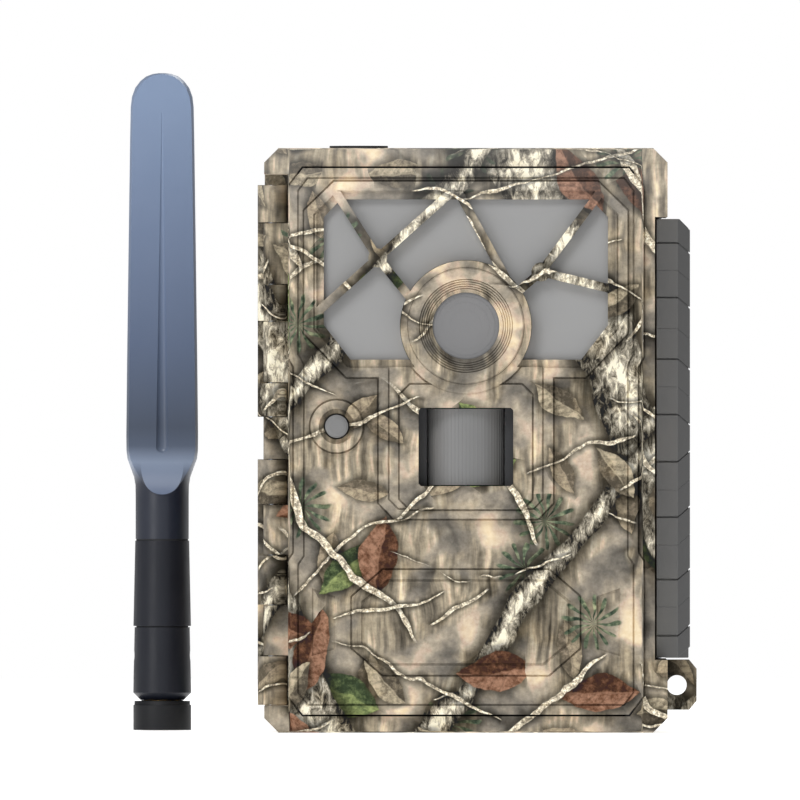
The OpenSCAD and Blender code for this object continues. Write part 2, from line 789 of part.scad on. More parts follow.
barrel_y0 = funnel_back + 2;
barrel_y1 = sensor_board_y - 5.2;
module lens_barrel() {
    color("#222325") difference() {
        bar_y(0, lens_z, barrel_y0, barrel_y1, barrel_r);
        bar_y(0, lens_z, barrel_y0 - 1, barrel_y1 + 1, barrel_r - 1.4);
    }
}

module lens_elements() {
    color("#9fb3b8", 0.5) for (y = [barrel_y0 + 0.6, barrel_y0 + 5, barrel_y1 - 3])
        bar_y(0, lens_z, y, y + 1.8, barrel_r - 1.42);
}

filter_y = barrel_y1 + 0.6;
filter_t = 1;
filter_hw = 5;
filter_travel = 8;
holder_hh = 8;
module lens_holder() {
    color("#2b2c2e") difference() {
        block([-9, barrel_y1 - 4, lens_z - holder_hh], [filter_hw + filter_travel + 2, sensor_board_y, lens_z + holder_hh]);
        bar_y(0, lens_z, barrel_y1 - 5, barrel_y1, barrel_r + 0.02);
        bar_y(0, lens_z, barrel_y1 - 1, sensor_board_y + 1, barrel_r - 1.4);
        block([-filter_hw - 0.3, filter_y - 0.2, lens_z - filter_hw - 0.3],
              [filter_hw + filter_travel + 0.4, filter_y + filter_t + 0.2, lens_z + filter_hw + 0.3]);
    }
}

module ir_cut_filter() {
    color("#5f8fa0", 0.6) block([-filter_hw, filter_y, lens_z - filter_hw], [filter_hw, filter_y + filter_t, lens_z + filter_hw]);
}

module image_sensor() {
    color("#15161a") block([-3.2, sensor_board_y - 1.2, lens_z - 2.8], [3.2, sensor_board_y, lens_z + 2.8]);
}

module sensor_board() {
    color(board_green) block([-14, sensor_board_y, lens_z - 12], [18, sensor_board_y + sensor_board_t, lens_z + 12]);
}

module ir_board() {
    color(board_green) difference() {
        union() {
            slab(ir_board_y, ir_board_y + ir_board_t) window_outline(3.4);
            for (z = ir_boss_z)
                block([-ir_boss_x, ir_board_y, z - 1], [ir_boss_x, ir_board_y + ir_board_t, z + 1]);
        }
        bar_y(0, lens_z, ir_board_y - 1, ir_board_y + 3, barrel_r + 5);
    }
}

// lamps stand in rows on both sides of the lens
lamp_places = concat(
    [for (side = [-1, 1], i = [0:3], j = [0:4]) [side * (14.6 + i * 5.2), 1.5 + j * 5.6]],
    [for (i = [-2:2]) [i * 4.8, 24]]
);
module ir_lamps() {
    color("#c9c6d2", 0.8) for (p = lamp_places)
        if (norm(p) > boss_r + lamp_r) {
            bar_y(p[0], lens_z + p[1], ir_board_y - 1.6, ir_board_y, lamp_r + 0.3);
            translate([p[0], ir_board_y - 1.6, lens_z + p[1]]) sphere(r = lamp_r, $fn = 24);
        }
}

pir_axis_y = mask_y + 1.2 + pir_r;
pir_t = 0.9;
module pir_lens() {
    hh = pir_h / 2 - 0.3;
    chord = pir_r - 1;
    color("#868686", 0.9) union() {
        intersection() {
            difference() {
                bar_z(0, pir_axis_y, pir_z - hh, pir_z + hh, pir_r);
                bar_z(0, pir_axis_y, pir_z - hh - 1, pir_z + hh + 1, pir_r - pir_t);
            }
            block([-chord, pir_axis_y - pir_r - 1, pir_z - hh], [chord, inner_y + 1.2, pir_z + hh]);
        }
        difference() {
            slab(inner_y + 0.1, inner_y + 1.1) cut_rect_at(0, pir_z, pir_hw + 2, pir_h / 2 + 2, 1);
            block([-pir_hw - 0.3, inner_y - 2, pir_z - hh + 1.2], [pir_hw + 0.3, inner_y + 3, pir_z + hh - 1.2]);
        }
    }
}

pir_board_y = inner_y + 10;
module pir_sensor() {
    color(steel) difference() {
        union() {
            bar_y(0, pir_z, pir_board_y - 4.2, pir_board_y - 0.6, 4.1);
            bar_y(0, pir_z, pir_board_y - 0.6, pir_board_y, 4.6);
        }
        block([-2, pir_board_y - 5, pir_z - 1.5], [2, pir_board_y - 4, pir_z + 1.5]);
    }
}

module pir_board() {
    color(board_green) block([-12, pir_board_y, pir_z - 11], [12, pir_board_y + 1.2, pir_z + 11]);
}

module indicator_lens() {
    color("#858586", 0.8) union() {
        bar_y(indicator_x, indicator_z, panel_y - 0.6, inner_y + 4, indicator_r);
        bar_y(indicator_x, indicator_z, inner_y + 0.05, inner_y + 1.2, indicator_r + 1);
    }
}

module main_board() {
    color(board_green) difference() {
        block([-board_hw, main_y, main_z0], [board_hw, main_y + main_t, main_z1]);
        for (x = [-deck_screw_x, deck_screw_x], z = deck_screw_z)
            bar_y(x, z, main_y - 1, main_y + main_t + 1, deck_boss_r + 0.3);
    }
}

modem_z = [lens_z + 2, lens_z + 22];
module modem_shield() {
    color(steel) block([-34, main_y - 3, modem_z[0]], [-17, main_y, modem_z[1]]);
}

module display() {
    color("#3a4238") block([-display_hw - 2.5, deck_in - 3.4, display_z - display_hh - 2.5],
                           [display_hw + 2.5, deck_in - 0.1, display_z + display_hh + 2.5]);
}

module inner_panel() {
    color("#3a3b3d") difference() {
        slab(deck_in, deck_y) inner_outline(0.3);
        slab(deck_in - 1, deck_y + 1) cut_rect_at(0, display_z, display_hw, display_hh, 1);
        for (p = pad_places)
            bar_y(p[0] * key_pitch, pad_z + p[1] * key_pitch, deck_in - 1, deck_y + 1, key_r + key_gap);
        slab(deck_in - 1, deck_y + 1) cut_rect_at(switch_x, pad_z, 1.9, 2 + switch_travel + 0.4, 0.4);
        slab(deck_in - 1, deck_y + 1) cut_rect_at(card_x, 25, card_w / 2 + 2, 17, 2);
        slab(deck_in - 1, deck_y + 1) cut_rect_at(sim_x, 25, 9, 13, 2);
        for (x = [-deck_screw_x, deck_screw_x], z = deck_screw_z)
            bar_y(x, z, deck_in - 1, deck_y + 1, screw_r + fit);
        for (x = [-deck_screw_x, deck_screw_x], z = deck_screw_z)
            bar_y(x, z, deck_y - 1, deck_y + 1, 2.6 + fit);
    }
}

module panel_screws() {
    color(steel) for (x = [-deck_screw_x, deck_screw_x], z = deck_screw_z)
        screw(x, z, deck_y - 1, 2.4, screw_r - 0.02, 7, -1);
}

key_top = split_y + 0.7;
switch_top = main_y + main_t + 4;
module key(p) {
    x = p[0] * key_pitch;
    z = pad_z + p[1] * key_pitch;
    color("#4a4b4e") union() {
        bar_y(x, z, deck_in - 0.8, key_top, key_r);
        bar_y(x, z, deck_in - 1.4, deck_in - 0.1, key_r + 0.9);
        bar_y(x, z, switch_top + key_travel + 0.1, deck_in - 1.3, 1.5);
    }
}
module key_middle() { key(pad_places[0]); }
module key_up() { key(pad_places[1]); }
module key_down() { key(pad_places[2]); }
module key_right() { key(pad_places[3]); }
module key_left() { key(pad_places[4]); }

module key_switches() {
    color("#1b1c1e") for (p = pad_places) {
        x = p[0] * key_pitch;
        z = pad_z + p[1] * key_pitch;
        block([x - 3, main_y + main_t, z - 3], [x + 3, switch_top - 0.8, z + 3]);
        bar_y(x, z, switch_top - 1, switch_top, 1.7);
    }
}

slider_y = main_y + main_t + 4;
module mode_switch() {
    color(steel) difference() {
        block([switch_x - 3.4, main_y + main_t, pad_z - 8], [switch_x + 3.4, slider_y, pad_z + 8]);
        block([switch_x - 1.6, slider_y - 2, pad_z - 2.4 - switch_travel], [switch_x + 1.6, slider_y + 1, pad_z + 2.4 + switch_travel]);
    }
}

module mode_slider() {
    color(rubber_black) union() {
        block([switch_x - 1.4, slider_y - 1.6, pad_z - 2], [switch_x + 1.4, split_y + 0.2, pad_z + 2]);
        block([switch_x - 2.6, slider_y + 0.2, pad_z - 3], [switch_x + 2.6, slider_y + 1, pad_z + 3]);
    }
}

// the card goes up into its socket and is pulled down through the open bay
module card_shape() {
    c = 4;
    polygon([
        [card_x - card_w / 2, card_z0], [card_x + card_w / 2, card_z0],
        [card_x + card_w / 2, card_z0 + card_l - c], [card_x + card_w / 2 - c, card_z0 + card_l],
        [card_x - card_w / 2, card_z0 + card_l]
    ]);
}
card_hold = 10;

module card_socket() {
    hw = card_w / 2 + 1.6;
    color(steel) difference() {
        block([card_x - hw, main_y + main_t, card_z0 + card_hold], [card_x + hw, card_y + card_t + 1, card_z0 + card_l + 2]);
        block([card_x - card_w / 2 - 0.15, card_y - 0.15, card_z0],
              [card_x + card_w / 2 + 0.15, card_y + card_t + 0.15, card_z0 + card_l + 0.5]);
    }
}

module memory_card() {
    color("#1f2226") slab(card_y, card_y + card_t) card_shape();
}

sim_t = 0.8;
sim_y = main_y + main_t + 0.8;
module sim_socket() {
    color(steel) difference() {
        block([sim_x - 7.6, main_y + main_t, sim_z0 + 4], [sim_x + 7.6, sim_y + sim_t + 0.8, sim_z0 + 17]);
        block([sim_x - 6.2, sim_y - 0.12, sim_z0], [sim_x + 6.2, sim_y + sim_t + 0.12, sim_z0 + 15.4]);
    }
}

module sim_card() {
    color("#e8e6df") slab(sim_y, sim_y + sim_t) polygon([
        [sim_x - 6, sim_z0], [sim_x + 6, sim_z0], [sim_x + 6, sim_z0 + 13],
        [sim_x + 4, sim_z0 + 15], [sim_x - 6, sim_z0 + 15]
    ]);
}

// threaded socket that stands in the antenna port, with its nut
module antenna_socket() {
    tail = port_floor - port_wall;
    color(brass) difference() {
        union() {
            bar_z(port_x, port_y, tail, port_floor + 4.6, socket_r);
            translate([port_x, port_y, port_floor]) cylinder(h = 1.8, r = 4.6, $fn = 6);
            bar_z(port_x, port_y, tail - 1.8, tail, 4.2);
        }
        bar_z(port_x, port_y, port_floor + 1, port_floor + 6, 2.1);
    }
}

module antenna_port_cap() {
    color(rubber_black) difference() {
        union() {
            bar_z(port_x, port_y, port_floor + 2.4, case_h, port_r);
            bar_z(port_x, port_y, case_h - 0.1, case_h + 0.65, port_r);
        }
        bar_z(port_x, port_y, port_floor, port_floor + 5.2, socket_r + 0.3);
    }
}

module coax_lead() {
    tail = port_floor - port_wall - 1.8;
    color(rubber_black) union() {
        bar_z(port_x, port_y, modem_z[1] + 2.2, tail, 0.9);
        bar_z(port_x, port_y, modem_z[1], modem_z[1] + 2.2, 1.5);
    }
}

// ---------- antenna ----------

module at_antenna() {
    translate([-antenna_x, antenna_y, 0]) children();
}

// front view of the blade and its neck, tip rounded as half an ellipse
module blade_front() {
    tip = 7.65;
    shoulder = antenna_h - 6.2;
    arc = [for (a = [0:15:180]) [tip * cos(a), shoulder + 6.2 * sin(a)]];
    polygon(concat(
        [[-neck_r, neck_z0], [neck_r, neck_z0], [neck_r, neck_z1], [blade_hw, blade_z0], [8.4, 105]],
        arc,
        [[-8.4, 105], [-blade_hw, blade_z0], [-neck_r, neck_z1]]
    ));
}

// side view, thinner towards the tip
module blade_side() {
    polygon([
        [-neck_r, neck_z0], [neck_r, neck_z0], [neck_r, neck_z1], [blade_ht + 1.4, 105],
        [blade_ht, antenna_h - 3], [blade_ht - 2, antenna_h], [-blade_ht + 2, antenna_h],
        [-blade_ht, antenna_h - 3], [-blade_ht - 1.4, 105], [-neck_r, neck_z1]
    ]);
}

strip_hw = 3.6;
module antenna_blade() {
    color("#7889a2") at_antenna() difference() {
        intersection() {
            translate([0, neck_r + 1, 0]) rotate([90, 0, 0]) linear_extrude(2 * neck_r + 2) blade_front();
            rotate([90, 0, 90]) translate([0, 0, -blade_hw - 1]) linear_extrude(2 * blade_hw + 2) blade_side();
            union() {
                bar_z(0, 0, neck_z0, neck_z1, neck_r);
                block([-blade_hw, -neck_r, neck_z1], [blade_hw, neck_r, antenna_h]);
            }
        }
        block([-strip_hw - 0.5, -1, neck_z0 - 1], [strip_hw + 0.5, 1, antenna_h - 9]);
        block([-1, -neck_r - 1, blade_z0], [1, -neck_r + 0.4, blade_z0 + 6]);
    }
}

module antenna_strip() {
    color(brass) at_antenna() block([-strip_hw, -0.4, neck_z0 + 0.2], [strip_hw, 0.4, antenna_h - 10]);
}

module antenna_elbow() {
    color("#2d313d") at_antenna() difference() {
        union() {
            translate([0, 0, elbow_z0]) cylinder(h = elbow_z1 - elbow_z0, r1 = foot_r - 0.05, r2 = neck_r + 0.1);
            bar_z(0, 0, elbow_z1 - 0.5, neck_z0, neck_r - 1.2);
            block([-tongue_t, -tongue_hw, fold_z], [tongue_t, tongue_hw, elbow_z0 + 1]);
            bar_x(0, fold_z, -tongue_t, tongue_t, tongue_hw);
        }
        bar_x(0, fold_z, -tongue_t - 1, tongue_t + 1, fold_pin_r + pin_gap);
    }
}

module antenna_knuckle() {
    color("#262a35") at_antenna() difference() {
        translate([0, 0, knuckle_z0]) union() {
            cylinder(h = 1.8, r1 = foot_r - 1.8, r2 = foot_r);
            translate([0, 0, 1.8]) cylinder(h = knuckle_z1 - knuckle_z0 - 1.8, r1 = foot_r, r2 = foot_r - 0.35);
        }
        block([-tongue_t - 0.2, -tongue_hw - 0.3, fold_z - 5.5], [tongue_t + 0.2, foot_r + 1, knuckle_z1 + 1]);
        bar_x(0, fold_z, -foot_r - 1, foot_r + 1, fold_pin_r + 0.02);
        // rounded about the fold pin, behind and above it
        difference() {
            block([-foot_r - 1, 0, fold_z], [foot_r + 1, foot_r + 1, knuckle_z1 + 1]);
            bar_x(0, fold_z, -foot_r - 2, foot_r + 2, 7.05);
        }
        bar_z(0, 0, knuckle_z0 - 1, knuckle_z0 + 2.6, spigot_r + pin_gap);
    }
}

module fold_pin() {
    color(steel) at_antenna() bar_x(0, fold_z, -foot_r + 1, foot_r - 1, fold_pin_r);
}

// the hollow sleeve turns round the plug and carries the thread
module coupling_sleeve() {
    color("#17181d") at_antenna() difference() {
        union() {
            bar_z(0, 0, 0, sleeve_h, foot_r - 0.35);
            for (a = [0:15:345]) rotate([0, 0, a]) block([foot_r - 1, -0.45, 0.6], [foot_r, 0.45, sleeve_h - 0.6]);
        }
        bar_z(0, 0, -1, sleeve_h - 2, socket_r + 0.1);
        bar_z(0, 0, -1, sleeve_h + 1, plug_r + pin_gap);
    }
}

module antenna_plug() {
    color(brass) at_antenna() union() {
        bar_z(0, 0, 1.2, sleeve_h + 0.1, 1.9);
        bar_z(0, 0, sleeve_h - 1.8, sleeve_h + 0.1, plug_r);
        bar_z(0, 0, sleeve_h + 0.05, knuckle_z0 + 2.5, spigot_r);
    }
}

rear_housing();
hinge_pin();
case_seal();
battery_tray();
tray_screws();
battery_springs();
battery_contacts();
battery_cells();
tripod_insert();
tree_bracket();
bracket_screws();
power_jack();
power_jack_plug();
latch();
latch_pin();
front_cover();
ir_window();
lens_bezel();
lens_glass();
lens_barrel();
lens_elements();
lens_holder();
ir_cut_filter();
image_sensor();
sensor_board();
ir_board();
ir_lamps();
pir_lens();
pir_sensor();
pir_board();
indicator_lens();
main_board();
modem_shield();
display();
inner_panel();
panel_screws();
key_middle();
key_up();
key_down();
key_right();
key_left();
key_switches();
mode_switch();
mode_slider();
card_socket();
memory_card();
sim_socket();
sim_card();
antenna_socket();
antenna_port_cap();
coax_lead();
antenna_blade();
antenna_strip();
antenna_elbow();
fold_pin();
antenna_knuckle();
coupling_sleeve();
antenna_plug();
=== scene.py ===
import math
import bpy
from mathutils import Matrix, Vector
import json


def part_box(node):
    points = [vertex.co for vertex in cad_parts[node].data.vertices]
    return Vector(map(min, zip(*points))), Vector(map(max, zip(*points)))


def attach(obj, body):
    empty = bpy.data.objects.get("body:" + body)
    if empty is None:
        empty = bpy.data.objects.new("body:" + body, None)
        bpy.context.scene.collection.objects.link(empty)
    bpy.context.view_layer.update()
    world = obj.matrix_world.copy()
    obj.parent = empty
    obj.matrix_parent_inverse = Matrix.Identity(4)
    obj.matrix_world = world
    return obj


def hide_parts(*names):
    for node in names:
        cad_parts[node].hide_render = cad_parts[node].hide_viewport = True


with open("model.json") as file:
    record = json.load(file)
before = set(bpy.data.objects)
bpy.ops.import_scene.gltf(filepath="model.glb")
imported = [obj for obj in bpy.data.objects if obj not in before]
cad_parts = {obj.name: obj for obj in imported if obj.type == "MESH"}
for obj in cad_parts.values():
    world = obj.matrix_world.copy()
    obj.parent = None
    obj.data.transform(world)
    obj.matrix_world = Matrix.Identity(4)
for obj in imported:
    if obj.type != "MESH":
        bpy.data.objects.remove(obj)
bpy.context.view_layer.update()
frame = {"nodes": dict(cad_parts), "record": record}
mm = 0.001
nodes = frame["nodes"]
slotOf = {row["node"]: row["material_slot"] for row in frame["record"]["subparts"]}
bodyOf = {n: b for b, ns in frame["record"]["behaviour"]["bodies"].items() for n in ns}

print("stage: camera, floor and lights")
stageLook = {
    "lens": 1483,               # a very long lens keeps the front square on
    "distance": 8000 * mm,
    "aim": (-16 * mm, 80.8 * mm),
    "worldStrength": 0.34,
    "floorSize": 3.0,
    "floorDrop": 0.1 * mm,
    "floorGlow": 0.7,
    # place in m, size in m, power in W
    "lamps": {"keyBox": ((-0.45, -0.9, 0.95), (0.5, 0.5), 8.2),
              "fillBox": ((-0.85, -0.95, 0.1), (0.5, 0.6), 2.8),
              "backBox": ((0.3, 0.9, 0.8), (0.6, 0.4), 3.2)},
}
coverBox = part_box("front_cover")
faceY = coverBox[0][1]
cameraData = bpy.data.cameras.new("camera")
cameraData.lens = stageLook["lens"]
cameraData.sensor_width = 36
cameraData.clip_end = 40
camera = bpy.data.objects.new("camera", cameraData)
camera.location = (stageLook["aim"][0], faceY - stageLook["distance"], stageLook["aim"][1])
camera.rotation_euler = (math.radians(90), 0, 0)
bpy.context.collection.objects.link(camera)
bpy.context.scene.camera = camera
bpy.context.scene.view_settings.view_transform = "Standard"


def hexColour(code):
    parts = [int(code[i:i + 2], 16) / 255 for i in (1, 3, 5)]
    linear = [p / 12.92 if p <= 0.04045 else ((p + 0.055) / 1.055) ** 2.4 for p in parts]
    return (*linear, 1.0)


def plugIn(tree, node, links):
    for socket, value in links.items():
        if isinstance(value, bpy.types.NodeSocket):
            tree.links.new(value, node.inputs[socket])
        else:
            node.inputs[socket].default_value = value


def addNode(tree, kind, links, out=0, stops=(), **settings):
    made = tree.nodes.new("ShaderNode" + kind)
    for key, value in settings.items():
        setattr(made, key, value)
    for index, (place, code) in enumerate(stops):
        stop = made.color_ramp.elements[index] if index < 2 else made.color_ramp.elements.new(place)
        stop.position = place
        stop.color = hexColour(code)
    plugIn(tree, made, links)
    return made.outputs[out]


def addLight(name, place, size, power, aim=(0, 0, 70 * mm)):
    data = bpy.data.lights.new(name, "AREA")
    data.shape = "RECTANGLE"
    data.size, data.size_y = size
    data.energy = power
    lamp = bpy.data.objects.new(name, data)
    lamp.location = place
    lamp.rotation_euler = (Vector(aim) - Vector(place)).to_track_quat("-Z", "Y").to_euler()
    bpy.context.collection.objects.link(lamp)


for name, (place, size, power) in stageLook["lamps"].items():
    addLight(name, place, size, power)

world = bpy.data.worlds.new("studio")
world.use_nodes = True
worldTree = world.node_tree
seen = addNode(worldTree, "LightPath", {}, out="Is Camera Ray")   # the backdrop is white, its light is softer
glow = addNode(worldTree, "MapRange", {0: seen, 3: stageLook["worldStrength"], 4: 1.0})
plugIn(worldTree, worldTree.nodes["Background"], {"Color": (1, 1, 1, 1), "Strength": glow})
bpy.context.scene.world = world

bpy.ops.object.select_all(action="DESELECT")
bpy.ops.mesh.primitive_plane_add(size=stageLook["floorSize"], location=(0, 0, -stageLook["floorDrop"]))
floor = bpy.context.active_object
floor.name = "floor"
floorPaint = bpy.data.materials.new("whitePaper")   # a bright even sweep that still takes a soft shadow
floorPaint.use_nodes = True
plugIn(floorPaint.node_tree, floorPaint.node_tree.nodes["Principled BSDF"], {
    "Base Color": hexColour("#f6f6f6"), "Roughness": 0.9, "Specular IOR Level": 0.0,
    "Emission Color": (1, 1, 1, 1), "Emission Strength": stageLook["floorGlow"]})
floor.data.materials.append(floorPaint)


print("materials")
smooth = {"interpolation_type": "SMOOTHSTEP"}
asColour = {"data_type": "RGBA", "out": 2}   # a Mix node set to colours gives its result on socket 2


def newMaterial(name):
    made = bpy.data.materials.new(name)
    made.use_nodes = True
    return made, made.node_tree, made.node_tree.nodes["Principled BSDF"]


def plainFinish(name, code, roughness, cloud=9, grain=0.3, grainDepth=0.02, tint=0.12, worn=0.16,
                stretch=(1, 1, 1), **sockets):
    # cloud and grain are sizes in mm: slow drift of the colour, and the texture of the mould or tool
    made, tree, shader = newMaterial(name)
    spot = addNode(tree, "TexCoord", {}, out="Object")
    drift = addNode(tree, "TexNoise", {"Vector": spot, "Scale": 1 / (cloud * mm), "Detail": 4.0})
    pulled = addNode(tree, "Mapping", {"Vector": spot, "Scale": stretch})
    fine = addNode(tree, "TexNoise", {"Vector": pulled, "Scale": 1 / (grain * mm), "Detail": 2.0})
    base = hexColour(code)
    dark = tuple(c * (1 - tint) for c in base[:3]) + (1,)
    light = tuple(min(1, c * (1 + tint)) for c in base[:3]) + (1,)
    colour = addNode(tree, "Mix", {0: drift, 6: dark, 7: light}, **asColour)
    wear = addNode(tree, "MapRange", {0: drift, 1: 0.3, 2: 0.7, 3: roughness - worn / 2,
                                      4: roughness + worn / 2})
    bump = addNode(tree, "Bump", {"Height": fine, "Strength": 0.5, "Distance": grainDepth * mm})
    plugIn(tree, shader, {"Base Color": colour, "Roughness": wear, "Normal": bump, **sockets})
    return made


# one figure turns, bends or spreads a layer of the printed film
camoLook = {
    "ground": [(0.34, "#524d46"), (0.42, "#7c766c"), (0.49, "#9c9282"), (0.55, "#c4b59c"), (0.64, "#e2d3b7")],
    "straw": [(0.32, "#4c463c"), (0.44, "#8f836e"), (0.56, "#c4b393"), (0.7, "#f0e4c6")],
    "bark": [(0.36, "#2f2b25"), (0.45, "#777061"), (0.54, "#b3aa95"), (0.64, "#ece6d3")],
    "twig": [(0.36, "#8f846f"), (0.5, "#cfc4aa"), (0.62, "#f7f1e0")],
    "tuft": [(0.35, "#3c4a3f"), (0.52, "#66755c"), (0.68, "#a3ab84")],
    "shadow": "#2b2924", "tuftShadow": "#2c2f29", "sun": "#f3e6cd", "bareAbs": "#303134",
    # angle and seed of each patch of dry grass
    "streaks": [(4, 1.3), (58, 2.1), (-36, 4.4)],
    # size mm, seed, share kept, dark, middle, light: the first two lie behind the trunks
    "leaves": [(17, 1.0, 0.34, "#6f6554", "#978770", "#bba988"),
               (27, 2.6, 0.2, "#43503a", "#6a7a4b", "#9aa860"),
               (25, 5.2, 0.34, "#51382a", "#7d5238", "#a9795a"),
               (20, 8.1, 0.3, "#5f574a", "#8d8069", "#c4b594")],
    # angle, half width mm, shift mm, half pitch mm, seed
    "trunks": [(-27, 7.5, 31, 52, 7.7), (38, 2.1, 8, 38, 2.9)],
    # size mm, seed, share kept
    "tufts": (19, 3.1, 0.2),
    # spacing mm, angle, width mm, seed, cover
    "twigs": [(30, 52, 1.3, 1.7, 0.5), (37, -41, 1.9, 4.9, 0.5), (23, 74, 0.8, 9.2, 0.5),
              (27, -66, 0.7, 3.4, 0.48)],
    "veins": 44, "needles": 13,
    # mm behind the face where the walls are bare inside, and where the print turns onto the back
    "bareFrom": 5.35, "backFrom": 67.5,
}


def wobbled(tree, vector, size, amount, seed=0.0):
    # the place, pushed about by up to half the amount in mm
    moved = addNode(tree, "Mapping", {"Vector": vector, "Location": (seed, seed * 0.7, 0)})
    drift = addNode(tree, "TexNoise", {"Vector": moved, "Scale": 1 / (size * mm), "Detail": 2.0}, out="Color")
    centred = addNode(tree, "VectorMath", {0: drift, 1: (0.5, 0.5, 0.5)}, operation="SUBTRACT")
    return addNode(tree, "VectorMath", {0: centred, 1: [amount * mm] * 3, 2: vector},
                   operation="MULTIPLY_ADD")


def cellSpot(tree, vector, size, seed):
    # the place inside a scattered cell, in cell sizes, turned at random, and three random figures of the cell
    moved = addNode(tree, "Mapping", {"Vector": vector, "Location": (seed * 0.13, seed * 0.21, 0),
                                      "Rotation": (0, 0, math.radians(seed * 37))})
    near = addNode(tree, "TexVoronoi", {"Vector": moved, "Scale": 1 / (size * mm), "Randomness": 0.9},
                   out="Position", voronoi_dimensions="2D")
    offset = addNode(tree, "VectorMath", {0: moved, 1: near}, operation="SUBTRACT")
    local = addNode(tree, "VectorMath", {0: offset, "Scale": 1 / (size * mm)}, operation="SCALE")
    pick = addNode(tree, "SeparateColor", {0: near.node.outputs["Color"]}).node.outputs
    angle = addNode(tree, "Math", {0: pick[0], 1: 2 * math.pi}, operation="MULTIPLY")
    spun = addNode(tree, "VectorRotate", {"Vector": local, "Angle": angle}, rotation_type="Z_AXIS")
    return spun, pick


def leafLayer(tree, colour, flat, size, seed, keep, tones):
    bent = wobbled(tree, flat, size * 0.8, size * 0.3, seed)
    ragged = wobbled(tree, bent, size * 0.12, size * 0.05, seed + 2)
    spun, pick = cellSpot(tree, ragged, size, seed)
    along, side, _ = addNode(tree, "SeparateXYZ", {0: spun}).node.outputs
    across = addNode(tree, "Math", {0: side}, operation="ABSOLUTE")
    # the outline: half the width falls off as the square of the way along
    square = addNode(tree, "Math", {0: along, 1: along}, operation="MULTIPLY")
    half = addNode(tree, "Math", {0: square, 1: -1.05, 2: 0.17}, operation="MULTIPLY_ADD")
    edge = addNode(tree, "Math", {0: half, 1: across}, operation="SUBTRACT")
    chosen = addNode(tree, "Math", {0: pick[1], 1: keep}, operation="LESS_THAN")
    body = addNode(tree, "MapRange", {0: edge, 1: 0.0, 2: 0.012, 4: chosen}, **smooth)
    castOn = addNode(tree, "Math", {0: chosen, 1: 0.72}, operation="MULTIPLY")
    cast = addNode(tree, "MapRange", {0: edge, 1: -0.11, 2: 0.02, 4: castOn}, **smooth)
    # one half of a folded leaf is lit, the other turns away
    worn = addNode(tree, "TexNoise", {"Vector": flat, "Scale": 1 / (2.6 * mm), "Detail": 5.0,
                                      "Roughness": 0.7})
    lit = addNode(tree, "MapRange", {0: side, 1: -0.03, 2: 0.03, 3: -0.13, 4: 0.13}, **smooth)
    tone = addNode(tree, "Math", {0: worn, 1: lit}, operation="ADD")
    paint = addNode(tree, "ValToRGB", {0: tone}, stops=list(zip((0.34, 0.52, 0.7), tones)))
    slant = addNode(tree, "Math", {0: along, 1: across}, operation="SUBTRACT")
    veins = addNode(tree, "Math", {0: slant, 1: camoLook["veins"]}, operation="MULTIPLY")
    wave = addNode(tree, "Math", {0: veins}, operation="SINE")
    ribs = addNode(tree, "MapRange", {0: wave, 1: 0.6, 2: 1.0, 4: 0.28}, **smooth)
    paint = addNode(tree, "Mix", {0: ribs, 6: paint, 7: hexColour(tones[0])}, **asColour)
    rib = addNode(tree, "MapRange", {0: across, 1: 0.004, 2: 0.014, 3: 0.5, 4: 0.0}, **smooth)
    paint = addNode(tree, "Mix", {0: rib, 6: paint, 7: hexColour(tones[2])}, **asColour)
    colour = addNode(tree, "Mix", {0: cast, 6: colour, 7: hexColour(camoLook["shadow"])}, **asColour)
    return addNode(tree, "Mix", {0: body, 6: colour, 7: paint}, **asColour)


def twigLayer(tree, colour, flat, spacing, degrees, width, seed, cover):
    turned = addNode(tree, "Mapping", {"Vector": flat, "Rotation": (0, 0, math.radians(degrees))})
    bent = wobbled(tree, turned, spacing * 1.1, spacing * 0.62, seed)
    bent = wobbled(tree, bent, spacing * 0.2, spacing * 0.07, seed + 3)
    run = addNode(tree, "SeparateXYZ", {0: bent})
    phase = addNode(tree, "Math", {0: run, 1: seed * 0.0137}, operation="ADD")
    saw = addNode(tree, "Math", {0: phase, 1: spacing / 2 * mm}, operation="PINGPONG")
    moved = addNode(tree, "Mapping", {"Vector": flat, "Location": (seed, 0, seed)})
    where = addNode(tree, "TexNoise", {"Vector": moved, "Scale": 1 / (spacing * 1.1 * mm), "Detail": 1.0})
    here = addNode(tree, "MapRange", {0: where, 1: 1 - cover, 2: 1.02 - cover}, **smooth)
    thick = addNode(tree, "MapRange", {0: where, 1: 1 - cover, 2: 1.16 - cover, 3: width * 0.2 * mm,
                                       4: width * 0.62 * mm})
    over = addNode(tree, "Math", {0: thick, 1: saw}, operation="SUBTRACT")
    line = addNode(tree, "MapRange", {0: over, 1: -0.04 * mm, 2: 0.12 * mm, 4: here}, **smooth)
    cast = addNode(tree, "MapRange", {0: over, 1: -1.5 * mm, 2: 0.0, 4: here}, **smooth)
    grain = addNode(tree, "TexNoise", {"Vector": flat, "Scale": 1 / (0.9 * mm), "Detail": 3.0,
                                       "Roughness": 0.7})
    wood = addNode(tree, "ValToRGB", {0: grain}, stops=camoLook["twig"])
    cast = addNode(tree, "Math", {0: cast, 1: 0.66}, operation="MULTIPLY")
    colour = addNode(tree, "Mix", {0: cast, 6: colour, 7: hexColour(camoLook["shadow"])}, **asColour)
    return addNode(tree, "Mix", {0: line, 6: colour, 7: wood}, **asColour)


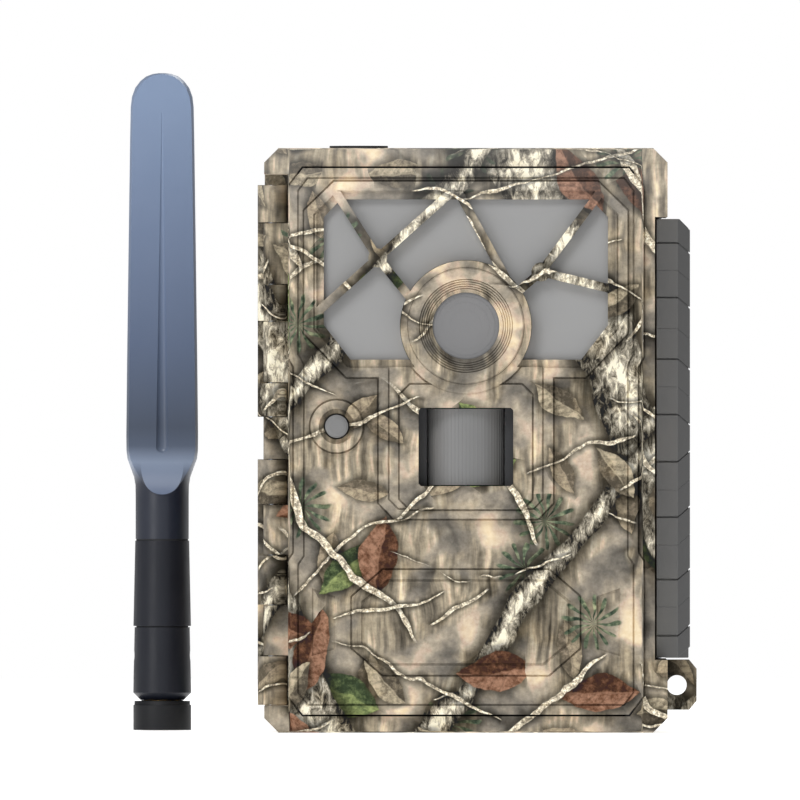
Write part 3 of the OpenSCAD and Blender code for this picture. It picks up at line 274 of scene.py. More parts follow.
def trunkLayer(tree, colour, flat, degrees, width, shift, pitch, seed):
    lean = (0, 0, math.radians(degrees))
    upright = addNode(tree, "Mapping", {"Vector": flat, "Rotation": lean})
    grown = wobbled(tree, upright, 30, 13, seed)
    run = addNode(tree, "Math", {0: addNode(tree, "SeparateXYZ", {0: grown}), 1: shift * mm}, operation="ADD")
    saw = addNode(tree, "Math", {0: run, 1: pitch * mm}, operation="PINGPONG")
    trunk = addNode(tree, "MapRange", {0: saw, 1: width * mm, 2: (width + 0.5) * mm, 3: 1.0, 4: 0.0},
                    **smooth)
    cast = addNode(tree, "MapRange", {0: saw, 1: width * mm, 2: (width + 5) * mm, 3: 0.85, 4: 0.0}, **smooth)
    pulled = addNode(tree, "Mapping", {"Vector": flat, "Rotation": lean, "Scale": (1, 0.45, 1)})
    cracks = addNode(tree, "TexNoise", {"Vector": pulled, "Scale": 1 / (1.7 * mm), "Detail": 5.0,
                                        "Roughness": 0.75, "Distortion": 0.7})
    patch = addNode(tree, "TexNoise", {"Vector": flat, "Scale": 1 / (7 * mm), "Detail": 2.0})
    rounding = addNode(tree, "MapRange", {0: saw, 1: 0.0, 2: width * mm, 3: 0.09, 4: -0.1})
    uneven = addNode(tree, "Math", {0: patch, 1: 0.45, 2: -0.22}, operation="MULTIPLY_ADD")
    rough = addNode(tree, "Math", {0: cracks, 1: rounding}, operation="ADD")
    tone = addNode(tree, "Math", {0: uneven, 1: rough}, operation="ADD")
    bark = addNode(tree, "ValToRGB", {0: tone}, stops=camoLook["bark"])
    colour = addNode(tree, "Mix", {0: cast, 6: colour, 7: hexColour(camoLook["shadow"])}, **asColour)
    return addNode(tree, "Mix", {0: trunk, 6: colour, 7: bark}, **asColour)


def tuftLayer(tree, colour, flat, size, seed, keep):
    # needles fan out from the middle of a cell
    spun, pick = cellSpot(tree, wobbled(tree, flat, size * 0.5, size * 0.22, seed), size, seed)
    along, side, _ = addNode(tree, "SeparateXYZ", {0: spun}).node.outputs
    turn = addNode(tree, "Math", {0: side, 1: along}, operation="ARCTAN2")
    away = addNode(tree, "VectorMath", {0: spun}, out="Value", operation="LENGTH")
    comb = addNode(tree, "Math", {0: turn, 1: camoLook["needles"]}, operation="MULTIPLY")
    comb = addNode(tree, "Math", {0: comb}, operation="SINE")
    chosen = addNode(tree, "Math", {0: pick[1], 1: keep}, operation="LESS_THAN")
    reach = addNode(tree, "MapRange", {0: away, 1: 0.24, 2: 0.46, 3: 1.0, 4: 0.0}, **smooth)
    fan = addNode(tree, "Math", {0: comb, 1: reach}, operation="MULTIPLY")
    needle = addNode(tree, "MapRange", {0: fan, 1: 0.2, 2: 0.45, 4: chosen}, **smooth)
    castOn = addNode(tree, "Math", {0: chosen, 1: 0.55}, operation="MULTIPLY")
    cast = addNode(tree, "MapRange", {0: reach, 4: castOn})
    tone = addNode(tree, "TexNoise", {"Vector": flat, "Scale": 1 / (2 * mm), "Detail": 3.0})
    paint = addNode(tree, "ValToRGB", {0: tone}, stops=camoLook["tuft"])
    colour = addNode(tree, "Mix", {0: cast, 6: colour, 7: hexColour(camoLook["tuftShadow"])}, **asColour)
    return addNode(tree, "Mix", {0: needle, 6: colour, 7: paint}, **asColour)


def camoFilm(name):
    # matt film printed with bark, leaves and twigs: no shine, a faint orange peel from the moulding under it
    made, tree, shader = newMaterial(name)
    spot = addNode(tree, "TexCoord", {}, out="Object")
    x, y, z = addNode(tree, "SeparateXYZ", {0: spot}).node.outputs
    depth = addNode(tree, "Math", {0: y, 1: faceY}, operation="SUBTRACT")
    # the film wraps round, so on the sides and ends the depth runs on from the front's own x and z
    halfWide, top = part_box("case_seal")[1][0], coverBox[1][2]
    away = addNode(tree, "Math", {0: x}, operation="ABSOLUTE")
    sideOn = addNode(tree, "MapRange", {0: away, 1: halfWide + 0.1 * mm, 2: halfWide + 0.7 * mm, 4: depth},
                     **smooth)
    turn = addNode(tree, "Math", {0: addNode(tree, "Math", {0: x}, operation="SIGN"), 1: sideOn},
                   operation="MULTIPLY")
    fromMiddle = addNode(tree, "Math", {0: z, 1: top / 2}, operation="SUBTRACT")
    high = addNode(tree, "Math", {0: fromMiddle}, operation="ABSOLUTE")
    endOn = addNode(tree, "MapRange", {0: high, 1: top / 2 - 0.4 * mm, 2: top / 2 - 0.05 * mm, 4: depth},
                    **smooth)
    fold = addNode(tree, "Math", {0: addNode(tree, "Math", {0: fromMiddle}, operation="SIGN"), 1: endOn},
                   operation="MULTIPLY")
    backAt = camoLook["backFrom"] * mm
    onBack = addNode(tree, "MapRange", {0: depth, 1: backAt, 2: backAt + 0.7 * mm, 4: 0.31}, **smooth)
    u = addNode(tree, "Math", {0: addNode(tree, "Math", {0: x, 1: turn}, operation="ADD"), 1: onBack},
                operation="ADD")
    v = addNode(tree, "Math", {0: z, 1: fold}, operation="ADD")
    flat = addNode(tree, "CombineXYZ", {0: u, 1: v})

    ground = addNode(tree, "TexNoise", {"Vector": wobbled(tree, flat, 15, 12), "Scale": 1 / (17 * mm),
                                        "Detail": 3.5, "Roughness": 0.5})
    colour = addNode(tree, "ValToRGB", {0: ground}, stops=camoLook["ground"])
    for degrees, seed in camoLook["streaks"]:
        pulled = addNode(tree, "Mapping", {"Vector": wobbled(tree, flat, 18, 5, seed), "Scale": (1, 0.07, 1),
                                           "Rotation": (0, 0, math.radians(degrees))})
        streak = addNode(tree, "TexNoise", {"Vector": pulled, "Scale": 1 / (1.9 * mm), "Detail": 3.0})
        moved = addNode(tree, "Mapping", {"Vector": flat, "Location": (seed, 0, 0)})
        patch = addNode(tree, "TexNoise", {"Vector": moved, "Scale": 1 / (19 * mm), "Detail": 2.0})
        cover = addNode(tree, "MapRange", {0: patch, 1: 0.53, 2: 0.6, 4: 0.75}, **smooth)
        straw = addNode(tree, "ValToRGB", {0: streak}, stops=camoLook["straw"])
        colour = addNode(tree, "Mix", {0: cover, 6: colour, 7: straw}, **asColour)
    # printed dark hollows between the leaves, made stronger towards the bottom by painted shade and fading
    # towards the top
    moved = addNode(tree, "Mapping", {"Vector": flat, "Location": (3.3, 0.4, 0)})
    deep = addNode(tree, "TexNoise", {"Vector": moved, "Scale": 1 / (12 * mm), "Detail": 3.0})
    lowShade = addNode(tree, "MapRange", {0: z, 1: 0.6 * top, 2: 0.95 * top, 3: 0.6, 4: 0.2})
    hollowsAndLowShade = addNode(tree, "MapRange", {0: deep, 1: 0.6, 2: 0.72, 4: lowShade}, **smooth)
    colour = addNode(tree, "Mix", {0: hollowsAndLowShade, 6: colour, 7: hexColour(camoLook["shadow"])}, **asColour)
    for size, seed, keep, *tones in camoLook["leaves"][:2]:
        colour = leafLayer(tree, colour, flat, size, seed, keep, tones)
    colour = trunkLayer(tree, colour, flat, *camoLook["trunks"][0])
    colour = tuftLayer(tree, colour, flat, *camoLook["tufts"])
    colour = trunkLayer(tree, colour, flat, *camoLook["trunks"][1])
    for size, seed, keep, *tones in camoLook["leaves"][2:]:
        colour = leafLayer(tree, colour, flat, size, seed, keep, tones)
    for spacing, degrees, width, seed, cover in camoLook["twigs"]:
        colour = twigLayer(tree, colour, flat, spacing, degrees, width, seed, cover)
    # a printer's grain that breaks up flat patches
    grit = addNode(tree, "TexNoise", {"Vector": flat, "Scale": 1 / (1.3 * mm), "Detail": 4.0,
                                      "Roughness": 0.7})
    shade = addNode(tree, "ValToRGB", {0: grit}, stops=[(0.3, "#5a5a5a"), (0.7, "#a8a8a8")])
    colour = addNode(tree, "Mix", {0: 0.55, 6: colour, 7: shade}, blend_type="OVERLAY", **asColour)
    # sunlight that falls through the leaves in patches
    moved = addNode(tree, "Mapping", {"Vector": flat, "Location": (1.1, 2.3, 0)})
    dapple = addNode(tree, "TexNoise", {"Vector": moved, "Scale": 1 / (8 * mm), "Detail": 4.0})
    sun = addNode(tree, "MapRange", {0: dapple, 1: 0.54, 2: 0.7, 4: 0.42}, **smooth)
    colour = addNode(tree, "Mix", {0: sun, 6: colour, 7: hexColour(camoLook["sun"])},
                     blend_type="SOFT_LIGHT", **asColour)
    colour = addNode(tree, "HueSaturation", {"Color": colour, "Saturation": 0.84, "Value": 1.1})
    # painted light: the film is made lighter towards the top
    topLight = addNode(tree, "MapRange", {0: z, 1: 0.8 * top, 2: 0.97 * top, 4: 0.06})
    colour = addNode(tree, "BrightContrast", {"Color": colour, "Bright": topLight, "Contrast": 0.06})
    # inside the walls there is no film, only the bare dark ABS
    wallX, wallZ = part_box("inner_panel")[1][0] + 0.5 * mm, top / 2 - 2.2 * mm
    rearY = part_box("rear_housing")[1][1] - 2.3 * mm
    behind = addNode(tree, "Math", {0: depth, 1: camoLook["bareFrom"] * mm}, operation="SUBTRACT")
    ahead = addNode(tree, "Math", {0: rearY, 1: y}, operation="SUBTRACT")
    across = addNode(tree, "Math", {0: wallX, 1: away}, operation="SUBTRACT")
    within = addNode(tree, "Math", {0: wallZ, 1: high}, operation="SUBTRACT")
    for edge in (ahead, across, within):
        behind = addNode(tree, "Math", {0: behind, 1: edge}, operation="MINIMUM")
    bare = addNode(tree, "Math", {0: behind, 1: 0.0}, operation="GREATER_THAN")
    colour = addNode(tree, "Mix", {0: bare, 6: colour, 7: hexColour(camoLook["bareAbs"])}, **asColour)
    peel = addNode(tree, "TexNoise", {"Vector": spot, "Scale": 1 / (0.35 * mm), "Detail": 2.0})
    bump = addNode(tree, "Bump", {"Height": peel, "Strength": 0.5, "Distance": 0.02 * mm})
    plugIn(tree, shader, {"Base Color": colour, "Normal": bump, "Roughness": 0.66, "IOR": 1.46,
                          "Specular IOR Level": 0.35})
    return made


paddleTones = {
    # share of the blade's height, and its tone there: a painted sheen, pale at the tip and darker lower down,
    # with a painted highlight in the scoop and painted shade just above it
    "rise": [(0.09, "#65718a"), (0.165, "#7a879d"), (0.2, "#475266"), (0.24, "#3c4658"), (0.42, "#52607a"),
             (0.7, "#6a7a96"), (0.95, "#7c8eab")],
    # mm: the neck is dark outside neckR, up to where the scoop starts, and all round below neckTop
    "neck": "#171d2c", "neckR": 6.36, "scoopFrom": 60, "scoopFull": 66, "neckTop": 57.2,
}


def paddleBlue(name):
    # satin painted ABS; its colour carries a painted sheen that slides from pale at the tip to ink blue above
    # the joint, and a painted highlight on the scoop
    made, tree, shader = newMaterial(name)
    spot = addNode(tree, "TexCoord", {}, out="Object")
    x, y, z = addNode(tree, "SeparateXYZ", {0: spot}).node.outputs
    low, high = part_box("antenna_blade")
    rise = addNode(tree, "MapRange", {0: z, 1: low[2], 2: high[2]})
    # painted sheen: the tone by height stands in for the reflection on the flat face
    face = addNode(tree, "ValToRGB", {0: rise}, stops=paddleTones["rise"])
    # the round neck stays dark, so the painted sheen of the flat face stops where the scoop runs out
    middle = addNode(tree, "CombineXYZ", {0: (low[0] + high[0]) / 2, 1: (low[1] + high[1]) / 2})
    level = addNode(tree, "CombineXYZ", {0: x, 1: y})
    fromAxis = addNode(tree, "VectorMath", {0: level, 1: middle}, operation="SUBTRACT")
    away = addNode(tree, "VectorMath", {0: fromAxis}, out="Value", operation="LENGTH")
    rim, start = paddleTones["neckR"], paddleTones["neckTop"]
    onRim = addNode(tree, "MapRange", {0: away, 1: rim * mm, 2: (rim + 0.1) * mm})
    lowDown = addNode(tree, "MapRange", {0: z, 1: paddleTones["scoopFrom"] * mm,
                                         2: paddleTones["scoopFull"] * mm, 3: 1.0, 4: 0.0}, **smooth)
    neck = addNode(tree, "Math", {0: onRim, 1: lowDown}, operation="MULTIPLY")
    foot = addNode(tree, "MapRange", {0: z, 1: start * mm, 2: (start + 0.4) * mm, 3: 1.0, 4: 0.0})
    neck = addNode(tree, "Math", {0: neck, 1: foot}, operation="MAXIMUM")
    colour = addNode(tree, "Mix", {0: neck, 6: face, 7: hexColour(paddleTones["neck"])}, **asColour)
    drift = addNode(tree, "TexNoise", {"Vector": spot, "Scale": 1 / (7 * mm), "Detail": 3.0})
    wear = addNode(tree, "MapRange", {0: drift, 1: 0.3, 2: 0.7, 3: 0.3, 4: 0.42})
    grit = addNode(tree, "TexNoise", {"Vector": spot, "Scale": 1 / (0.4 * mm), "Detail": 2.0})
    bump = addNode(tree, "Bump", {"Height": grit, "Strength": 0.35, "Distance": 0.01 * mm})
    plugIn(tree, shader, {"Base Color": colour, "Roughness": wear, "Normal": bump})
    return made


# painted shade: the cheek tone is darker than the front because that side turns away from the light
leverTones = {"front": "#7a7a7a", "shadeCheek": "#565656", "fold": 51.5}   # the fold is x in mm


def leverGrey(name):
    # matt moulded ABS: mid grey in front, with painted shade making the cheek that falls away to the right
    # darker
    made, tree, shader = newMaterial(name)
    spot = addNode(tree, "TexCoord", {}, out="Object")
    x = addNode(tree, "SeparateXYZ", {0: spot}).node.outputs[0]
    fold = leverTones["fold"]
    # painted shade on the cheek right of the fold
    shadeCheek = addNode(tree, "MapRange", {0: x, 1: fold * mm, 2: (fold + 0.25) * mm})
    colour = addNode(tree, "Mix", {0: shadeCheek, 6: hexColour(leverTones["front"]),
                                   7: hexColour(leverTones["shadeCheek"])}, **asColour)
    grit = addNode(tree, "TexNoise", {"Vector": spot, "Scale": 1 / (0.3 * mm), "Detail": 2.0})
    bump = addNode(tree, "Bump", {"Height": grit, "Strength": 0.4, "Distance": 0.02 * mm})
    plugIn(tree, shader, {"Base Color": colour, "Roughness": 0.6, "Normal": bump})
    return made


def greenBoard(name):
    # solder mask on glass epoxy: copper runs show through as paler lines, with tinned pads
    made, tree, shader = newMaterial(name)
    spot = addNode(tree, "TexCoord", {}, out="Object")
    x, y, z = addNode(tree, "SeparateXYZ", {0: spot}).node.outputs
    flat = addNode(tree, "CombineXYZ", {0: x, 1: z})
    runs = addNode(tree, "TexBrick", {"Vector": flat, "Scale": 1 / (7 * mm), "Color1": hexColour("#1c5638"),
                                      "Color2": hexColour("#1c5638"), "Mortar": hexColour("#3b7a54"),
                                      "Mortar Size": 0.035, "Brick Width": 0.9, "Row Height": 0.24})
    pads = addNode(tree, "TexVoronoi", {"Vector": flat, "Scale": 1 / (4 * mm), "Randomness": 0.8},
                   out="Distance", voronoi_dimensions="2D")
    tin = addNode(tree, "MapRange", {0: pads, 1: 0.1, 2: 0.14, 3: 1.0, 4: 0.0})
    colour = addNode(tree, "Mix", {0: tin, 6: runs, 7: hexColour("#c9c6b4")}, **asColour)
    bump = addNode(tree, "Bump", {"Height": runs, "Strength": 0.5, "Distance": 0.03 * mm})
    plugIn(tree, shader, {"Base Color": colour, "Metallic": tin, "Roughness": 0.34, "Normal": bump})
    return made


def cellSleeve(name):
    # shrink-wrapped cell: glossy dark body with a copper band at the positive end of each cell
    made, tree, shader = newMaterial(name)
    spot = addNode(tree, "TexCoord", {}, out="Object")
    z = addNode(tree, "SeparateXYZ", {0: spot}, out=2)
    low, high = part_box("battery_cells")
    wave = addNode(tree, "MapRange", {0: z, 1: low[2], 2: high[2], 4: 2.0})
    part = addNode(tree, "Math", {0: wave}, operation="FRACT")
    colour = addNode(tree, "ValToRGB", {0: part}, stops=[
        (0.0, "#23262c"), (0.74, "#262a31"), (0.75, "#d9d6cc"), (0.765, "#b8743d"), (0.97, "#b07040"),
        (0.98, "#c9c5bb")])
    pulled = addNode(tree, "Mapping", {"Vector": spot, "Scale": (1, 1, 0.2)})
    crease = addNode(tree, "TexNoise", {"Vector": pulled, "Scale": 1 / (2 * mm), "Detail": 2.0})
    bump = addNode(tree, "Bump", {"Height": crease, "Strength": 0.3, "Distance": 0.03 * mm})
    plugIn(tree, shader, {"Base Color": colour, "Roughness": 0.24, "Normal": bump, "Coat Weight": 0.3})
    return made


screenLook = {"halfWide": 19.2, "halfHigh": 12.2, "fade": 0.3}   # the lit field, in mm


def displayPanel(name):
    # reflective liquid crystal under glass: a pale green grey field with a dark edge and faint rows of cells
    made, tree, shader = newMaterial(name)
    spot = addNode(tree, "TexCoord", {}, out="Object")
    x, y, z = addNode(tree, "SeparateXYZ", {0: spot}).node.outputs
    low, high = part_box("display")
    middle = [(a + b) / 2 for a, b in zip(low, high)]
    inside = []
    for along, centre, reach in ((x, middle[0], screenLook["halfWide"]),
                                 (z, middle[2], screenLook["halfHigh"])):
        over = addNode(tree, "Math", {0: along, 1: centre}, operation="SUBTRACT")
        over = addNode(tree, "Math", {0: over}, operation="ABSOLUTE")
        inside.append(addNode(tree, "MapRange", {0: over, 1: reach * mm, 2: (reach + screenLook["fade"]) * mm,
                                                 3: 1.0, 4: 0.0}))
    shown = addNode(tree, "Math", {0: inside[0], 1: inside[1]}, operation="MULTIPLY")
    rows = addNode(tree, "TexWave", {"Vector": spot, "Scale": 1 / (10 * mm)}, bands_direction="Z")
    field = addNode(tree, "Mix", {0: rows, 6: hexColour("#5f6b5e"), 7: hexColour("#6d7a6a")}, **asColour)
    colour = addNode(tree, "Mix", {0: shown, 6: hexColour("#17191a"), 7: field}, **asColour)
    haze = addNode(tree, "TexNoise", {"Vector": spot, "Scale": 1 / (4 * mm), "Detail": 2.0})
    wear = addNode(tree, "MapRange", {0: haze, 3: 0.06, 4: 0.14})
    plugIn(tree, shader, {"Base Color": colour, "Roughness": wear, "Coat Weight": 0.5})
    return made


finishes = {
    "camo_shell": camoFilm("matteCamoFilm"),
    # zinc plate on turned steel: blue grey metal with fine drawn lines
    "steel": plainFinish("zincPlatedSteel", "#b4b7bb", 0.34, grain=0.9, stretch=(1, 1, 14), Metallic=1.0),
    # compression moulded nitrile: dull black with a dusty bloom
    "black_rubber": plainFinish("mouldedRubber", "#222326", 0.74, tint=0.2),
    # injection moulded ABS with a spark-eroded grain: soft grey highlights
    "black_plastic": plainFinish("sparkGrainAbs", "#2b2c2f", 0.5, grainDepth=0.03),
    # bright nickel over spring wire: clean, slightly warm mirror
    "nickel_plate": plainFinish("nickelPlatedSpring", "#c7c5be", 0.24, Metallic=1.0),
    "cell_jacket": cellSleeve("shrinkSleevedCell"),
    # turned brass: yellow metal with tool rings
    "brass": plainFinish("turnedBrass", "#cda75a", 0.28, grain=0.9, stretch=(1, 1, 14), Metallic=1.0),
    # glass-filled nylon: dark, dull and slightly rough
    "bracket_paint": plainFinish("glassFilledNylon", "#3c3d3a", 0.6, grain=0.5, grainDepth=0.05),
    "latch_grey": leverGrey("matteGreyAbs"),
    # infrared-passing acrylic: flat neutral grey with a soft gloss
    "window_smoke": plainFinish("smokedAcrylic", "#929292", 0.34, cloud=30, grain=0.5, grainDepth=0.001,
                                tint=0.01, worn=0.02),
    # coated lens glass: grey and nearly as flat as the window
    "lens_glass": plainFinish("coatedLensGlass", "#7b7b7c", 0.24, cloud=30, grain=0.5, grainDepth=0.001,
                              tint=0.01, worn=0.02),
    # moulded epoxy package: black with a fine matt face
    "chip_black": plainFinish("mouldedEpoxyChip", "#1a1b1d", 0.42),
    "circuit_board": greenBoard("solderMaskBoard"),
    # clear cast epoxy lamps: milky violet grey and glossy
    "lamp_epoxy": plainFinish("castClearEpoxy", "#c4c0cc", 0.14, grain=2.0, grainDepth=0.002),
    # ribbed polyethylene lens film: waxy mid grey
    "pir_film": plainFinish("waxyPolyethylene", "#767676", 0.44, cloud=20, grain=1.0, grainDepth=0.008,
                            tint=0.04),
    # frosted acrylic light pipe
    "indicator_clear": plainFinish("frostedAcrylic", "#777777", 0.34, tint=0.04),
    # tin plate: pale satin metal with roller lines
    "tinned_steel": plainFinish("tinnedSheet", "#b9bcbe", 0.36, grain=0.9, stretch=(1, 1, 14), Metallic=1.0),
    "display_glass": displayPanel("reflectiveDisplay"),
    # cast silicone keys: soft dark grey, no gloss
    "key_rubber": plainFinish("castSiliconeKey", "#55565a", 0.62),
    # punched card plastic: off-white satin
    "card_white": plainFinish("punchedCardPlastic", "#e6e3da", 0.42, tint=0.04),
    "blade_blue": paddleBlue("paddlePaintedSheen"),
    # satin moulded nylon joint: blue black with broad soft highlights
    "antenna_dark": plainFinish("satinNylonJoint", "#12151f", 0.4, tint=0.1, grainDepth=0.015,
                                **{"Specular IOR Level": 0.35}),
    # moulded coupling: nearly black
    "sleeve_black": plainFinish("mouldedCouplingNylon", "#101115", 0.5, **{"Specular IOR Level": 0.3}),
}
for name, obj in nodes.items():
    obj.data.materials.clear()
    obj.data.materials.append(finishes[slotOf[name]])


def clearSelection():
    if bpy.context.mode != "OBJECT":
        bpy.ops.object.mode_set(mode="OBJECT")
    bpy.ops.object.select_all(action="DESELECT")


def makeActive(obj):
    clearSelection()
    obj.select_set(True)
    bpy.context.view_layer.objects.active = obj


def pickFaces(obj, test):
    # leaves the object in edit mode with the faces chosen by middle and normal
    bpy.ops.object.mode_set(mode="OBJECT")
    for part in (obj.data.vertices, obj.data.edges, obj.data.polygons):
        part.foreach_set("select", [False] * len(part))
    for face in obj.data.polygons:
        face.select = bool(test(face.center, face.normal))
    bpy.ops.object.mode_set(mode="EDIT")
    bpy.ops.mesh.select_mode(type="FACE")


def finishPiece(obj, name, node, slotName=None, edge=0.0, angle=30, bends=28, stands=True):
    # rounds what bends more than the bends angle, then gives the piece its body and the material of its slot,
    # and hides the CAD node it stands for
    makeActive(obj)
    obj.name = obj.data.name = name
    bpy.ops.object.transform_apply(location=True, rotation=True, scale=True)
    if edge:
        bevel = obj.modifiers.new("edges", "BEVEL")
        bevel.width = edge
        bevel.segments = 2
        bevel.limit_method = "ANGLE"
        bevel.angle_limit = math.radians(bends)
        bevel.use_clamp_overlap = True
        bpy.ops.object.modifier_apply(modifier=bevel.name)
    bpy.ops.object.shade_smooth_by_angle(angle=math.radians(angle))
    even = obj.modifiers.new("even", "WEIGHTED_NORMAL")   # broad faces stay flat beside their rounded edges
    even.keep_sharp = True
    bpy.ops.object.modifier_apply(modifier=even.name)
    slotName = slotName or slotOf[node]
    if not obj.data.materials:
        obj.data.materials.append(finishes[slotName])
    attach(obj, bodyOf[node])
    if stands:
        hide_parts(node)


def roundedCopy(node, name, edge):
    copy = bpy.data.objects.new(name, nodes[node].data.copy())
    copy.data.materials.clear()
    bpy.context.collection.objects.link(copy)
    makeActive(copy)
    bpy.ops.object.mode_set(mode="EDIT")
    bpy.ops.mesh.select_all(action="SELECT")
    bpy.ops.mesh.remove_doubles(threshold=0.002 * mm)
    bpy.ops.mesh.dissolve_limited(angle_limit=math.radians(1.0))
    bpy.ops.object.mode_set(mode="OBJECT")
    finishPiece(copy, name, node, edge=edge)


def steppedDisc(centre, radius, steps, sides=96, towards="front", bore=False):
    # a turned part: a disc is raised first, then its face is inset and moved, (inset mm, move mm)
    turn, heading = {"front": ((math.radians(90), 0, 0), Vector((0, -mm, 0))),
                     "up": ((0, 0, 0), Vector((0, 0, mm)))}[towards]
    clearSelection()
    bpy.ops.mesh.primitive_circle_add(vertices=sides, radius=radius * mm, fill_type="NGON",
                                      location=centre, rotation=turn)
    disc = bpy.context.active_object
    bpy.ops.object.transform_apply(location=True, rotation=True, scale=True)
    bpy.ops.object.mode_set(mode="EDIT")
    bpy.ops.mesh.select_mode(type="FACE")
    bpy.ops.mesh.select_all(action="SELECT")
    for inward, move in steps:
        if inward:
            bpy.ops.mesh.inset(thickness=inward * mm, use_even_offset=False)
        if move:
            bpy.ops.mesh.extrude_region_move(TRANSFORM_OT_translate={"value": heading * move})
    if bore:
        bpy.ops.mesh.delete(type="FACE")
        back = Vector(centre).dot(heading) + 0.01 * mm * mm
        pickFaces(disc, lambda middle, normal: (middle.dot(heading) < back
                                                and abs(normal.dot(heading)) > 0.9 * mm))
        bpy.ops.mesh.delete(type="ONLY_FACE")
        bpy.ops.mesh.select_mode(type="EDGE")
        bpy.ops.mesh.select_all(action="DESELECT")
        bpy.ops.mesh.select_non_manifold()
        bpy.ops.mesh.bridge_edge_loops()
    bpy.ops.mesh.select_all(action="SELECT")
    bpy.ops.mesh.normals_make_consistent(inside=False)
    bpy.ops.object.mode_set(mode="OBJECT")
    return disc


print("shells")
shellEdges = {"front_cover": ("coverShell", 0.25), "rear_housing": ("housingShell", 0.3),
              "inner_panel": ("controlPanel", 0.2), "tree_bracket": ("treeBracket", 0.3),
              "battery_tray": ("cellTray", 0.25), "latch": ("latchLever", 0.3),
              "antenna_elbow": ("antennaElbow", 0.5), "antenna_knuckle": ("antennaKnuckle", 0.5)}
for node, (name, edge) in shellEdges.items():
    roundedCopy(node, name, edge * mm)

print("lens")
lensLook = {
    "ringGap": (0.3, 0.6),      # mm across and deep, round the outside
    "lip": 0.85, "steps": 3.3,  # mm of glass behind the bore's edge, and of steps outside it
    "groove": 0.19, "grooveDepth": 0.4, "rise": 0.45, "treads": 6,
    # (inset mm, move mm) of the glass, from its rim to the middle
    "dome": [(0, 0.9), (0.2, 0.12), (0.6, 0.14), (1.0, 0.12), (1.4, 0.08), (1.8, 0.04)],
}
lensLow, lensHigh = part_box("lens_bezel")
lensX, lensZ = (lensLow[0] + lensHigh[0]) / 2, (lensLow[2] + lensHigh[2]) / 2
bezelR = (lensHigh[0] - lensLow[0]) / 2 / mm
glassLow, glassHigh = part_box("lens_glass")
glassR = (glassHigh[0] - glassLow[0]) / 2 / mm
boreR = glassR - lensLook["lip"]
mouthR = boreR + lensLook["steps"]
tread = (mouthR - boreR) / lensLook["treads"]
backY = glassLow[1]
gapWide, gapDeep = lensLook["ringGap"]
rings = [(0, (backY - lensLow[1]) / mm - gapDeep), (gapWide, gapDeep), (bezelR - gapWide - mouthR, 0)]
for _ in range(lensLook["treads"] - 1):
    rings += [(0, -lensLook["rise"] - lensLook["grooveDepth"]), (lensLook["groove"], lensLook["grooveDepth"]),
              (tread - lensLook["groove"], 0)]
rings += [(0, -lensLook["rise"]), (tread, 0)]
lensRings = steppedDisc((lensX, backY, lensZ), bezelR, rings, bore=True)
finishPiece(lensRings, "lensRings", "lens_bezel", edge=0.04 * mm)
lensFace = steppedDisc((lensX, glassHigh[1], lensZ), glassR - 0.1, lensLook["dome"])
finishPiece(lensFace, "lensFace", "lens_glass", angle=40)

print("motion sensor")
pirLook = {
    "facets": 72, "rib": 0.07, "ribDepth": 0.05, "halfWide": 9.4, "halfHigh": 9.25, "radius": 10.4,
    # mm: middle and half width of the dark blocks beside the lens, painted shade that fills the gaps there,
    # and where they start and end in y
    "shadeCheek": (11.5, 2), "shadeCheekFront": -43.5, "shadeCheekBack": -42.5,
}
pirLow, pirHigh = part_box("pir_lens")
pirZ = (pirLow[2] + pirHigh[2]) / 2
pirAxisY = pirLow[1] + pirLook["radius"] * mm
clearSelection()
bpy.ops.mesh.primitive_cylinder_add(vertices=pirLook["facets"], radius=pirLook["radius"] * mm,
                                    depth=2 * pirLook["halfHigh"] * mm, location=(0, pirAxisY, pirZ))
pirLens = bpy.context.active_object
bpy.ops.object.transform_apply(location=True, rotation=True, scale=True)
reach = math.sqrt(pirLook["radius"] ** 2 - pirLook["halfWide"] ** 2) * mm
bpy.ops.object.mode_set(mode="EDIT")
bpy.ops.mesh.select_all(action="SELECT")
bpy.ops.mesh.bisect(plane_co=(0, pirAxisY - reach, pirZ), plane_no=(0, 1, 0), clear_outer=True, use_fill=True)
pickFaces(pirLens, lambda middle, normal: abs(normal.z) < 0.5 and normal.y < -0.1)
bpy.ops.mesh.inset(thickness=pirLook["rib"] * mm, depth=-pirLook["ribDepth"] * mm, use_individual=True)
bpy.ops.object.mode_set(mode="OBJECT")
finishPiece(pirLens, "pirLens", "pir_lens", angle=12)


def blockPiece(low, high):
    # a block from corner to corner, in mm, ready to be shaped in edit mode
    clearSelection()
    bpy.ops.mesh.primitive_cube_add(size=1, location=[(a + b) / 2 * mm for a, b in zip(low, high)],
                                    scale=[(b - a) * mm for a, b in zip(low, high)])
    bpy.ops.object.transform_apply(location=True, rotation=True, scale=True)
    return bpy.context.active_object


def joined(pieces):
    clearSelection()
    for piece in pieces:
        piece.select_set(True)
    bpy.context.view_layer.objects.active = pieces[0]
    bpy.ops.object.join()
    return pieces[0]


def hollowed(piece, cutter):
    makeActive(piece)
    cut = piece.modifiers.new("cut", "BOOLEAN")
    cut.operation = "DIFFERENCE"
    cut.object = cutter
    bpy.ops.object.modifier_apply(modifier=cut.name)
    bpy.data.objects.remove(cutter)


# painted shade: two black blocks stand in the gaps beside the lens, where there is only shade
shadeCheekX, shadeCheekHalf = pirLook["shadeCheek"]
shadeCheeks = [blockPiece((side * shadeCheekX - shadeCheekHalf, pirLook["shadeCheekFront"], pirLow[2] / mm),
                     (side * shadeCheekX + shadeCheekHalf, pirLook["shadeCheekBack"], pirHigh[2] / mm)) for side in (-1, 1)]
pirShadeCheeks = joined(shadeCheeks)
finishPiece(pirShadeCheeks, "pirShadeCheeks", "pir_lens", "black_plastic", edge=0.1 * mm, stands=False)

